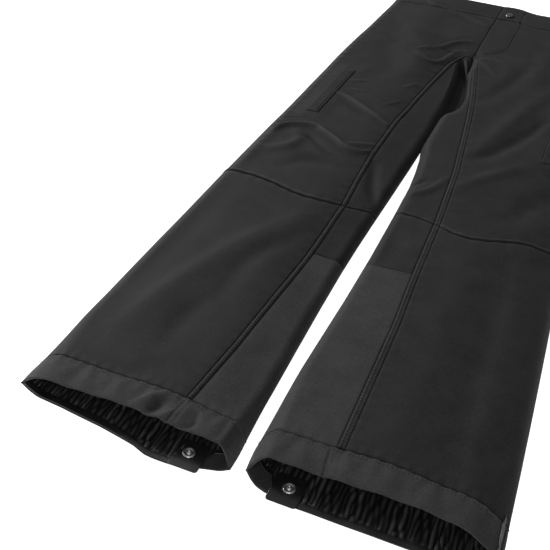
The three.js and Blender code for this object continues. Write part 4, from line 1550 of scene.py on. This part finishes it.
@dataclass
class Waist:
    """The waistband, fly flap, tab and waist snap."""

    right: Tailor
    left: Tailor
    wardrobe: Wardrobe

    def build(self) -> None:
        """Makes the pieces at the waist."""
        self.band_front(self.right, "waistband_front_right", lambda y: CENTRE - 2.2 + 0 * y)
        self.band_front(self.left, "waistband_front_left", lambda y: Fly.edge + Fly.width - 1.5 + 0 * y)
        self.band_back()
        self.fly_flap()
        self.tab()
        self.snap()
        self.topstitches()

    def cloth(self, name: str, thickness: float) -> Cloth:
        """Softshell of a thickness in mm, lined, for one piece."""
        return Cloth(name, outer=self.wardrobe.softshell, inner=self.wardrobe.lining, thickness=thickness)

    def band_front(self, tailor: Tailor, node: str, border: Callable[[Array], Array]) -> None:
        """One front half of the waistband, folded over at its top edge.

        Args:
            tailor: the shape of that side.
            node: the CAD node that it stands for.
            border: its x towards the fly at each level.
        """
        height = LEVELS.waist - LEVELS.band

        def surface(u: Array, v: Array) -> tuple[Array, Array, Array]:
            up, turn, down = (np.clip(t, 0, 1) for t in (v / 0.47, (v - 0.47) / 0.06, (v - 0.53) / 0.47))
            level = LEVELS.band + height * up + 1.0 * np.sin(np.pi * turn) - 0.9 * height * down
            low, high = tailor.edges(level)
            edge = low if tailor.hand < 0 else high
            start, end = (edge, border(level)) if tailor.hand < 0 else (border(level), edge)
            rims = (True, False) if tailor.hand < 0 else (False, True)
            x = tailor.across_front(u, level, start, end, rims)
            z = tailor.front_height(x, level)
            puff = 0.7 * np.sin(np.pi * up) * (turn <= 0)
            z = z + puff - 1.0 * (1 - np.cos(np.pi * turn))
            return x, slanted(level, z) - waist_dip(x, level), z

        cloth = self.cloth(f"{node}_cloth", 0.6)
        piece = cloth.grid(90, 60, surface)
        cloth.declare(piece, held="folded", rests_on=["waistband_back_cloth"])
        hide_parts(node)
        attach(piece, "waist_and_thighs")

    def band_back(self) -> None:
        """The back of the waistband, across both sides."""
        right, left = self.right, self.left

        def surface(u: Array, v: Array) -> tuple[Array, Array, Array]:
            height = LEVELS.waist - LEVELS.band
            up, turn, down = (np.clip(t, 0, 1) for t in (v / 0.47, (v - 0.47) / 0.06, (v - 0.53) / 0.47))
            level = LEVELS.band + height * up + 1.0 * np.sin(np.pi * turn) - 0.9 * height * down
            low, high = right.edges(level)[0], left.edges(level)[1]
            x = right.across_front(u, level, high, low, (True, True))
            flat = rounded(x - low, 11.0) * rounded(high - x, 11.0)
            z = RIM * (1 - flat) + (0.4 + 1.0 * (1 - np.cos(np.pi * turn))) * flat
            return x, slanted(level, z) - waist_dip(x, level), z

        cloth = self.cloth("waistband_back_cloth", 0.6)
        piece = cloth.grid(150, 40, surface)
        cloth.declare(piece, held="folded", rests_on=["floor"])
        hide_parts("waistband_back")
        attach(piece, "waist_and_thighs")

    def over_front(self, x: Array, level: Array, lift: Array | float) -> tuple[Array, Array, Array]:
        """Points above the front where the two halves meet."""
        share = smooth((x - CENTRE + 12) / 24)
        z = (1 - share) * self.right.front_height(x, level) + share * self.left.front_height(x, level) + lift
        return x, slanted(level, z) - waist_dip(x, level), z

    def fly_flap(self) -> None:
        """The fly flap, with its curved lower end."""

        def surface(u: Array, v: Array) -> tuple[Array, Array, Array]:
            level = Fly.bottom + 0.3 + (LEVELS.band - 0.3 - Fly.bottom) * (1 - np.cos(0.5 * np.pi * v))
            end = Fly.outline(level)
            x = Fly.edge + (end - Fly.edge) * u
            roll = 0.9 * np.exp(-((x - Fly.edge) / 1.4) ** 2)
            sewn = smooth((end - x) / 14.0) * smooth((level - Fly.bottom) / 5.0)
            return self.over_front(x, level, 0.2 + 0.9 * sewn - roll)

        cloth = self.cloth("fly_flap_cloth", 1.2)
        piece = cloth.grid(28, 70, surface)
        cloth.declare(piece, rests_on=["front_thigh_cloth_right"])
        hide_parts("fly_flap")
        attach(piece, "fly_and_tab")

    def tab(self) -> None:
        """The end of the waistband that laps over the fly."""
        height = LEVELS.waist - LEVELS.band
        corner = 4.0

        def surface(u: Array, v: Array) -> tuple[Array, Array, Array]:
            level = LEVELS.band + 0.3 + (height - 0.2) * v
            near_end = np.minimum(level - LEVELS.band, LEVELS.waist - level)
            cut = corner * (1 - rounded(near_end, corner))
            start = Fly.edge + cut
            x = start + (Fly.edge + Fly.width - start) * u
            roll = 0.9 * (np.exp(-(((x - start) / 1.3) ** 2)) + np.exp(-((near_end / 1.3) ** 2)))
            lap = 0.3 + 1.6 * smooth((Fly.edge + Fly.width - x) / 6)
            return self.over_front(x, level, lap - np.minimum(roll, 1.1) * lap / 1.9)

        cloth = self.cloth("waistband_tab_cloth", 2.0)
        piece = cloth.grid(36, 44, surface)
        cloth.declare(piece, rests_on=["waistband_front_right_cloth"])
        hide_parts("waistband_tab")
        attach(piece, "fly_and_tab")

    def snap(self) -> None:
        """The dark domed cap of the waist snap."""
        low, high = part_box("waist_snap_cap")
        centre = Vector(((low.x + high.x) / 2, (low.y + high.y) / 2, low.z))
        radius, height = (high.x - low.x) / 2, high.z - low.z
        shares = ((1.0, 0.0), (1.0, 0.3), (0.95, 0.55), (0.85, 0.72), (0.7, 0.8), (0.5, 0.9), (0.3, 0.97),
                  (0.1, 1.0))
        profile = [(a * radius, b * height) for a, b in shares]
        piece = turned("waist_snap_dome", profile, centre, self.wardrobe.gunmetal)
        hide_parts("waist_snap_cap")
        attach(piece, "fly_and_tab")

    def topstitches(self) -> None:
        """Thread along the waistband, the tab and the fly."""
        group = Stitcher("flap_and_tab_stitches", self.wardrobe.thread)
        rise = np.linspace(Fly.bottom + 3, LEVELS.band - 2, 120)
        for off in (1.8, 6.8):
            inset = np.maximum(Fly.outline(rise) - off, Fly.edge + 2)
            group.sew(to_row(*self.over_front(inset, rise, 1.25)), 0.22)
        tab_rise = np.linspace(LEVELS.band + 3, LEVELS.waist - 3, 40)
        group.sew(to_row(*self.over_front(np.full(40, Fly.edge + 3), tab_rise, 2.0)))
        across = np.linspace(Fly.edge + 3, Fly.edge + Fly.width - 1, 40)
        for level in (LEVELS.band + 3, LEVELS.waist - 3):
            group.sew(to_row(*self.over_front(across, np.full(40, level), 2.0)))
        piece = group.piece()
        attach(piece, "fly_and_tab")
        band = Stitcher("waistband_stitches", self.wardrobe.thread)
        for tailor, start, end in ((self.right, -180.0, CENTRE - 5), (self.left, 31.0, 162.0)):
            across = np.linspace(start, end, 120)
            for level, lift in ((LEVELS.band + 3, 0.35), (LEVELS.waist - 3, 0.35), (LEVELS.band - 3.5, 0.1)):
                levels = np.full(120, level)
                band.sew(to_row(*tailor.front(across, levels, lift)))
        piece = band.piece()
        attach(piece, "waist_and_thighs")


# ------------------------------------------------------------------------------------------- the pockets


@dataclass
class ThighPocket:
    """One zipped thigh pocket: the slit in the thigh cloth and the welt over it."""

    tailor: Tailor
    wardrobe: Wardrobe
    slit_half: float = 5.6

    def build(self) -> None:
        """Makes the pocket's pieces."""
        self.side, self.hand = self.tailor.side, self.tailor.hand
        self.zip = self.tailor.pocket
        self.slit()
        self.welt()

    def slit(self) -> None:
        """Cuts the slit that the slider runs in out of the thigh cloth, under the welt."""
        mesh = bpy.data.objects[self.side.node("front_thigh_cloth")].data
        shell = bmesh.new()
        shell.from_mesh(mesh)
        cut = []
        for face in shell.faces:
            spot = face.calc_center_median() / MM
            level = spot.y - LEVELS.crotch_row
            sideways = abs(spot.x - float(self.zip.across(level)))
            if sideways < self.slit_half and self.zip.low + 4 < level < self.zip.high - 4:
                cut.append(face)
        bmesh.ops.delete(shell, geom=cut, context="FACES")
        shell.to_mesh(mesh)
        shell.free()

    def welt(self) -> None:
        """The stitched welt that covers the zip."""
        tailor = self.tailor
        half, shift = 9.0, 2.0

        def surface(u: Array, v: Array) -> tuple[Array, Array, Array]:
            low, high = self.zip.low, self.zip.high
            level = low + (high - low) * v
            off = half * (2 * u - 1)
            from_end = np.minimum(level - low, high - level)
            roll = rounded(half - np.abs(off), 1.2) * rounded(from_end, 2.0)
            lip = 0.8 * np.exp(-((off * self.hand + 6.4) / 0.8) ** 2) * smooth(from_end / 8)
            bar = 0.4 * np.exp(-((from_end - 6.0) / 1.1) ** 2) * smooth((half - 2 - np.abs(off)) / 2)
            x = self.zip.across(level) + off + self.hand * shift
            return tailor.front(x, level, 2.0 * roll - 0.6 - lip + bar)

        cloth = Cloth(self.side.node("pocket_welt_cloth"), outer=self.wardrobe.tape, thickness=1.0)
        piece = cloth.grid(30, 90, surface)
        cloth.declare(piece, rests_on=[self.side.node("front_thigh_cloth")])
        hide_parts(self.side.node("pocket_welt"))
        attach(piece, "waist_and_thighs")


# -------------------------------------------------------------------------------------------- the insides


@dataclass(frozen=True)
class InnerCloth:
    """A thin inner piece, such as a zip tape, shield or pocket bag, cut where its CAD solid lies."""

    node: str
    finish: bpy.types.Material
    cell: float = 5.0
    sag: float = 0.3
    pressed: float = 0.0

    def build(self) -> bpy.types.Object:
        """Makes the piece: a fine copy of its solid with soft edges and a slight sag.

        Returns:
            The piece.
        """
        low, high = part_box(self.node)
        shell = bmesh.new()
        shell.from_mesh(frame["nodes"][self.node].data)
        bmesh.ops.remove_doubles(shell, verts=shell.verts, dist=1e-6)
        bmesh.ops.recalc_face_normals(shell, faces=shell.faces)
        soften(shell, sharp_edges(shell, 0.9), 0.2, 2)
        for axis in (0, 1):
            normal = Vector([float(k == axis) for k in range(3)])
            for place in np.arange(low[axis] + self.cell * MM, high[axis] - 0.5 * MM, self.cell * MM):
                whole = shell.verts[:] + shell.edges[:] + shell.faces[:]
                bmesh.ops.bisect_plane(shell, geom=whole, plane_co=normal * place, plane_no=normal)
        for vert in shell.verts:
            wave = math.sin(vert.co.x / (9 * MM)) * math.sin(vert.co.y / (14 * MM) + 1.0)
            press = self.pressed * float(smooth((vert.co.z / MM - 25.0) / 3.0))
            vert.co.z -= (self.sag * (0.5 + 0.5 * wave) + press) * MM
        mesh = bpy.data.meshes.new(self.node)
        shell.to_mesh(mesh)
        shell.free()
        lay_flat(mesh)
        mesh.materials.clear()
        mesh.materials.append(self.finish)
        for polygon in mesh.polygons:
            polygon.material_index = 0
        piece = bpy.data.objects.new(f"{self.node}_cloth", mesh)
        bpy.context.scene.collection.objects.link(piece)
        area = sum(polygon.area for polygon in mesh.polygons) / 2
        flat = (high.x - low.x, high.y - low.y)
        under = (Side.RIGHT if self.node.endswith("right") else Side.LEFT).node("back_thigh_cloth")
        cut_area(area, flat)
        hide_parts(self.node)
        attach(piece, "waist_and_thighs")
        LOG.info("%s: %d faces", piece.name, len(mesh.polygons))
        return piece


@dataclass(frozen=True)
class ZipCoil:
    """A closed nylon coil: two rows of turns that mesh along its CAD chain."""

    node: str
    finish: bpy.types.Material
    lean: float = 0.0
    pitch: float = 1.5

    def build(self) -> None:
        """Makes the coil."""
        low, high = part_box(self.node)
        middle = (low + high) / 2
        length = high.y - low.y
        width = (high.x - low.x) - abs(self.lean) * length
        shell = bmesh.new()
        for k in range(int(length / (self.pitch * MM)) - 1):
            run = (k + 1) * self.pitch * MM
            for way in (-1, 1):
                y = low.y + run + (0.25 * way) * self.pitch * MM
                x = middle.x + self.lean * (y - middle.y) + way * 0.2 * width
                size = Matrix.Diagonal((0.28 * width, 0.3 * self.pitch * MM, 0.46 * (high.z - low.z), 1))
                place = Matrix.Translation((x, y, middle.z))
                bmesh.ops.create_icosphere(shell, subdivisions=1, radius=1, matrix=place @ size)
        mesh = bpy.data.meshes.new(self.node)
        shell.to_mesh(mesh)
        shell.free()
        for polygon in mesh.polygons:
            polygon.use_smooth = True
        mesh.materials.append(self.finish)
        piece = bpy.data.objects.new(f"{self.node}_coil", mesh)
        bpy.context.scene.collection.objects.link(piece)
        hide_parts(self.node)
        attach(piece, "waist_and_thighs")


def lay_flat(mesh: bpy.types.Mesh) -> None:
    """Gives a flat-lying mesh a UV map in metres."""
    mesh.uv_layers.new(name="UVMap")
    corners = np.zeros(len(mesh.loops), np.int32)
    mesh.loops.foreach_get("vertex_index", corners)
    places = np.array([v.co for v in mesh.vertices])[corners][:, :2]
    mesh.uv_layers[0].data.foreach_set("uv", places.astype(np.float32).ravel())


def fit_insides(wardrobe: Wardrobe) -> None:
    """Makes the zip tapes, coils, fly shield and pocket bags."""
    InnerCloth("fly_zip_shield", wardrobe.lining, sag=0.1, pressed=2.2).build()
    for side in Side:
        InnerCloth(side.node("fly_zip_tape"), wardrobe.lining, sag=0.1).build()
    ZipCoil("fly_zip_chain", wardrobe.coil).build()
    for side in Side:
        InnerCloth(side.node("pocket_zip_tape"), wardrobe.lining, sag=0.1).build()
        InnerCloth(side.node("pocket_bag"), wardrobe.lining).build()
        ZipCoil(side.node("pocket_zip_chain"), wardrobe.coil, lean=-side.hand * 0.05).build()


# ------------------------------------------------------------------------------------------ the studio


@dataclass(frozen=True)
class Viewpoint:
    """Where the camera stands: angles in degrees, distance in metres, and the point that it looks at."""

    azimuth: float = 24.33
    elevation: float = 39.96
    roll: float = -0.27
    distance: float = 1.179
    focal: float = 66.4
    look_x: float = -0.089
    look_y: float = -0.541

    def build(self) -> None:
        """Makes the camera."""
        a, e = math.radians(self.azimuth), math.radians(self.elevation)
        back = Vector((math.sin(a) * math.cos(e), -math.cos(a) * math.cos(e), math.sin(e)))
        target = Vector((self.look_x, self.look_y + LEVELS.crotch_row * MM, 0))
        camera = bpy.data.objects.new("camera", bpy.data.cameras.new("camera"))
        camera.data.lens, camera.data.sensor_width = self.focal, 36
        camera.data.clip_start, camera.data.clip_end = 0.05, 30
        camera.location = target + back * self.distance
        turn = (-back).to_track_quat("-Z", "Y").to_matrix().to_4x4()
        camera.rotation_euler = (turn @ Matrix.Rotation(math.radians(self.roll), 4, "Z")).to_euler()
        bpy.context.scene.collection.objects.link(camera)
        bpy.context.scene.camera = camera


@dataclass(frozen=True)
class Lamp:
    """A soft square lamp."""

    name: str
    place: tuple[float, float, float]
    size: float
    power: float

    def build(self) -> None:
        """Makes the lamp, aimed at the middle of the floor."""
        data = bpy.data.lights.new(self.name, "AREA")
        data.size, data.energy = self.size, self.power
        lamp = bpy.data.objects.new(self.name, data)
        lamp.location = self.place
        lamp.rotation_euler = (Vector((0, -0.1, 0)) - Vector(self.place)).to_track_quat("-Z", "Y").to_euler()
        bpy.context.scene.collection.objects.link(lamp)


@dataclass(frozen=True)
class Studio:
    """The pale floor, the lamps, the sky and the camera."""

    sky: float = 0.17
    floor_glow: float = 1.0

    def build(self) -> None:
        """Sets the scene."""
        scene = bpy.context.scene
        scene.view_settings.view_transform = "Standard"
        scene.view_settings.look = "None"
        world = bpy.data.worlds.new("studio")
        world.use_nodes = True
        world.node_tree.nodes["Background"].inputs["Color"].default_value = (1, 1, 1, 1)
        world.node_tree.nodes["Background"].inputs["Strength"].default_value = self.sky
        scene.world = world
        self.floor()
        Lamp("key", (-2.4, 0.85, 1.6), 0.6, 80).build()
        Lamp("fill", (0.4, -2.6, 2.2), 1.4, 26).build()
        Viewpoint().build()

    def floor(self) -> None:
        """The floor that the garment lies on."""
        shell = bmesh.new()
        bmesh.ops.create_grid(shell, x_segments=1, y_segments=1, size=8)
        mesh = bpy.data.meshes.new("floor")
        shell.to_mesh(mesh)
        shell.free()
        paint = Finish("floor", Roughness=0.9, Base_Color=(0.85, 0.85, 0.85, 1), Specular_IOR_Level=0.1)
        paint.surface.inputs["Emission Color"].default_value = (1, 1, 1, 1)
        paint.surface.inputs["Emission Strength"].default_value = self.floor_glow
        mesh.materials.append(paint.material)
        floor = bpy.data.objects.new("floor", mesh)
        floor.location.z = -0.0006
        bpy.context.scene.collection.objects.link(floor)


# ----------------------------------------------------------------------------------------------- creases

RIGHT_FOLDS = (
    Fold(((-201, -296), (-197, -284), (-186, -273), (-165, -267), (-148, -267), (-136, -274), (-115, -286),
          (-99, -296), (-88, -299), (-77, -299), (-67, -292)), 6.0, 3.9, -0.5, 44),
    Fold(((-198, -268), (-180, -260), (-165, -259), (-152, -263)), 2.3, 3.4, -0.4),
    Fold(((-97, -287), (-80, -282), (-64, -275)), 2.3, 3.2, -0.3),
    Fold(((-196, -342), (-175, -332), (-164, -320), (-160, -303), (-168, -289)), 3.6, 9),
    Fold(((-161, -296), (-144, -299), (-119, -316), (-97, -323)), -2.6, 6),
    Fold(((-155, -369), (-132, -346), (-102, -339), (-67, -336)), -2.8, 12),
    Fold(((-162, -171), (-144, -175), (-124, -186), (-104, -198), (-84, -209), (-65, -220)), 4.2, 3.4, -0.3),
    Fold(((-160, -186), (-130, -198), (-104, -212)), -1.6, 6),
    Fold(((-85, -176), (-69, -153)), 1.1, 3.0),
    Fold(((-76, -116), (-64, -98)), 1.2, 2.6),
    Fold(((-90, 2), (-67, 22), (-52, 43), (-38, 54), (-27, 58)), 3.0, 4.2, -0.3),
    Fold(((-88, -16), (-68, -26), (-54, -16), (-46, 6), (-40, 24)), 2.6, 4.2, -0.3),
    Fold(((-130, 100), (-102, 22), (-76, -59)), 3.4, 24),
    Fold(((-150, 60), (-136, -10), (-118, -80)), -2.3, 18),
    Fold(((-133, 168), (-111, 151)), 1.9, 3.6),
    Fold(((-84, 150), (-53, 133), (-27, 119), (-14, 112)), 2.3, 5),
    Fold(((-112, 169), (-72, 146), (-37, 127)), -1.2, 3.4),
    Fold(((-52, -312), (-37, -360), (-19, -396)), -3.8, 8),
    Fold(((-196, -290), (-203, -333), (-206, -390)), 1.7, 7),
    Fold(((-90, -462), (-124, -517), (-155, -583), (-177, -652), (-192, -715)), 3.2, 17, 0.15),
    Fold(((-80, -492), (-98, -526), (-115, -568), (-120, -630)), -2.0, 12),
    Fold(((-129, -648), (-136, -682), (-138, -722)), -2.6, 14),
    Fold(((-196, -450), (-206, -540), (-214, -640)), -2, 18),
    Fold(((-120, -808), (-108, -794), (-97, -781)), 2.6, 5),
    Fold(((-104, -810), (-93, -792)), -3.5, 5),
    Fold(((-92, -814), (-81, -800)), 2.3, 4),
    Fold(((-59, -788), (-56, -804), (-70, -813)), -1.7, 3),
    Fold(((-190, -764), (-150, -770), (-128, -756)), -2.2, 13),
)
LEFT_FOLDS = (
    Fold(((10, -368), (33, -346), (46, -315)), 2.6, 6),
    Fold(((3, -350), (22, -328)), -3.2, 5),
    Fold(((60, -240), (78, -180), (94, -122), (116, -50)), 3.2, 13),
    Fold(((62, -256), (84, -236), (108, -186), (134, -134), (156, -92)), -3.5, 10),
    Fold(((36, -106), (58, -48), (76, 12)), -2.9, 12),
    Fold(((140, -362), (158, -330), (178, -296)), -2.9, 14),
    Fold(((60, -334), (86, -298), (128, -252)), 2.6, 10),
    Fold(((100, 96), (88, 20), (96, -60)), 2.3, 16),
    Fold(((158, -450), (170, -600), (184, -770)), -3.2, 20),
    Fold(((112, -440), (120, -600), (124, -760)), 2, 20),
    Fold(((18, -430), (28, -470), (24, -500)), -1.7, 12),
    Fold(((-4, 4), (14, -8), (34, -34)), 1.7, 4),
    Fold(((4, 16), (26, 12), (50, -6)), 1.4, 4),
)


PUCKERS = (
    Fold(((-157, -114), (-143, -92)), 1.4, 2.8),
    Fold(((-159, -136), (-131, -124)), 1.5, 2.8),
    Fold(((-161, -158), (-136, -155), (-121, -152)), 1.1, 2.8),
    Fold(((-160, -205), (-150, -196), (-138, -196)), 0.9, 3.6),
)


def main() -> None:
    """Builds the garment and its studio."""
    logging.basicConfig(level=logging.INFO, format="%(message)s")
    wardrobe = Wardrobe()
    right_shape = LegShape(
        low_side=20, high_side=13, slope_drop=9, slope_reach=85,
        droop_at=(-250, -200, -150, -90, -50, -12), droop=(2, 6, 13, 24, 24, 13),
        seam_at=(-820, -785, -680, -519, -414, -312, -201, -133, -60, -18, 5, 15),
        seam=(-75, -72, -62, -52, -51, -57, -55, -49, -42, -37, -31, -21), seam_width=5.5,
        mouth_low=32, mouth_high=17, mouth_rims=(11.5, 4.5), knee_sag=(0.62, 0.28, 19), mouth_lift=0.75)
    left_shape = LegShape(
        low_side=14, high_side=15, slope_drop=8, slope_reach=52,
        droop_at=(5, 30, 60, 210, 250), droop=(12, 20, 23, 23, 12),
        seam_at=(-820, -782, -597, -514, -414, -301, -242, -165, -111, -69, -25, 5, 15),
        seam=(84, 81, 73, 66, 60, 50, 41, 29, 19, 9, -1, -8, -12), seam_width=7.5,
        mouth_low=22, mouth_high=32, mouth_rims=(9.5, 8), knee_sag=(0.47, 0.22, 21),
        inner_at=(-830, -786, -681, -571, -488, -380, -331, -295, -259, -235),
        inner=(8, 4.5, 3.5, 5.5, 6, 4, 2.5, -1, -6, -10.6))
    right = Tailor(Side.RIGHT, right_shape, RIGHT_FOLDS + PUCKERS, 11)
    left = Tailor(Side.LEFT, left_shape, LEFT_FOLDS, 23)
    for tailor in (right, left):
        Leg(tailor, wardrobe).build()
        Gaiter(tailor, wardrobe).build()
        ThighPocket(tailor, wardrobe).build()
    Waist(right, left, wardrobe).build()
    fit_insides(wardrobe)
    dress_frame(wardrobe)
    Studio().build()
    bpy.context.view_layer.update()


def dress_frame(wardrobe: Wardrobe) -> None:
    """Gives the CAD nodes that still show their finishes."""
    finishes = {
        "gunmetal": wardrobe.gunmetal, "bright_snap": wardrobe.nickel, "zip_teeth": wardrobe.coil,
        "lining": wardrobe.lining, "softshell": wardrobe.softshell,
    }
    slots = {row["node"]: row["material_slot"] for row in frame["record"]["subparts"]}
    for name, node in frame["nodes"].items():
        if node.hide_render:
            continue
        finish = finishes.get(slots.get(name, ""), wardrobe.lining)
        if not node.data.materials:
            node.data.materials.append(finish)
        for index in range(len(node.data.materials)):
            node.data.materials[index] = finish


if __name__ == "__main__":
    main()
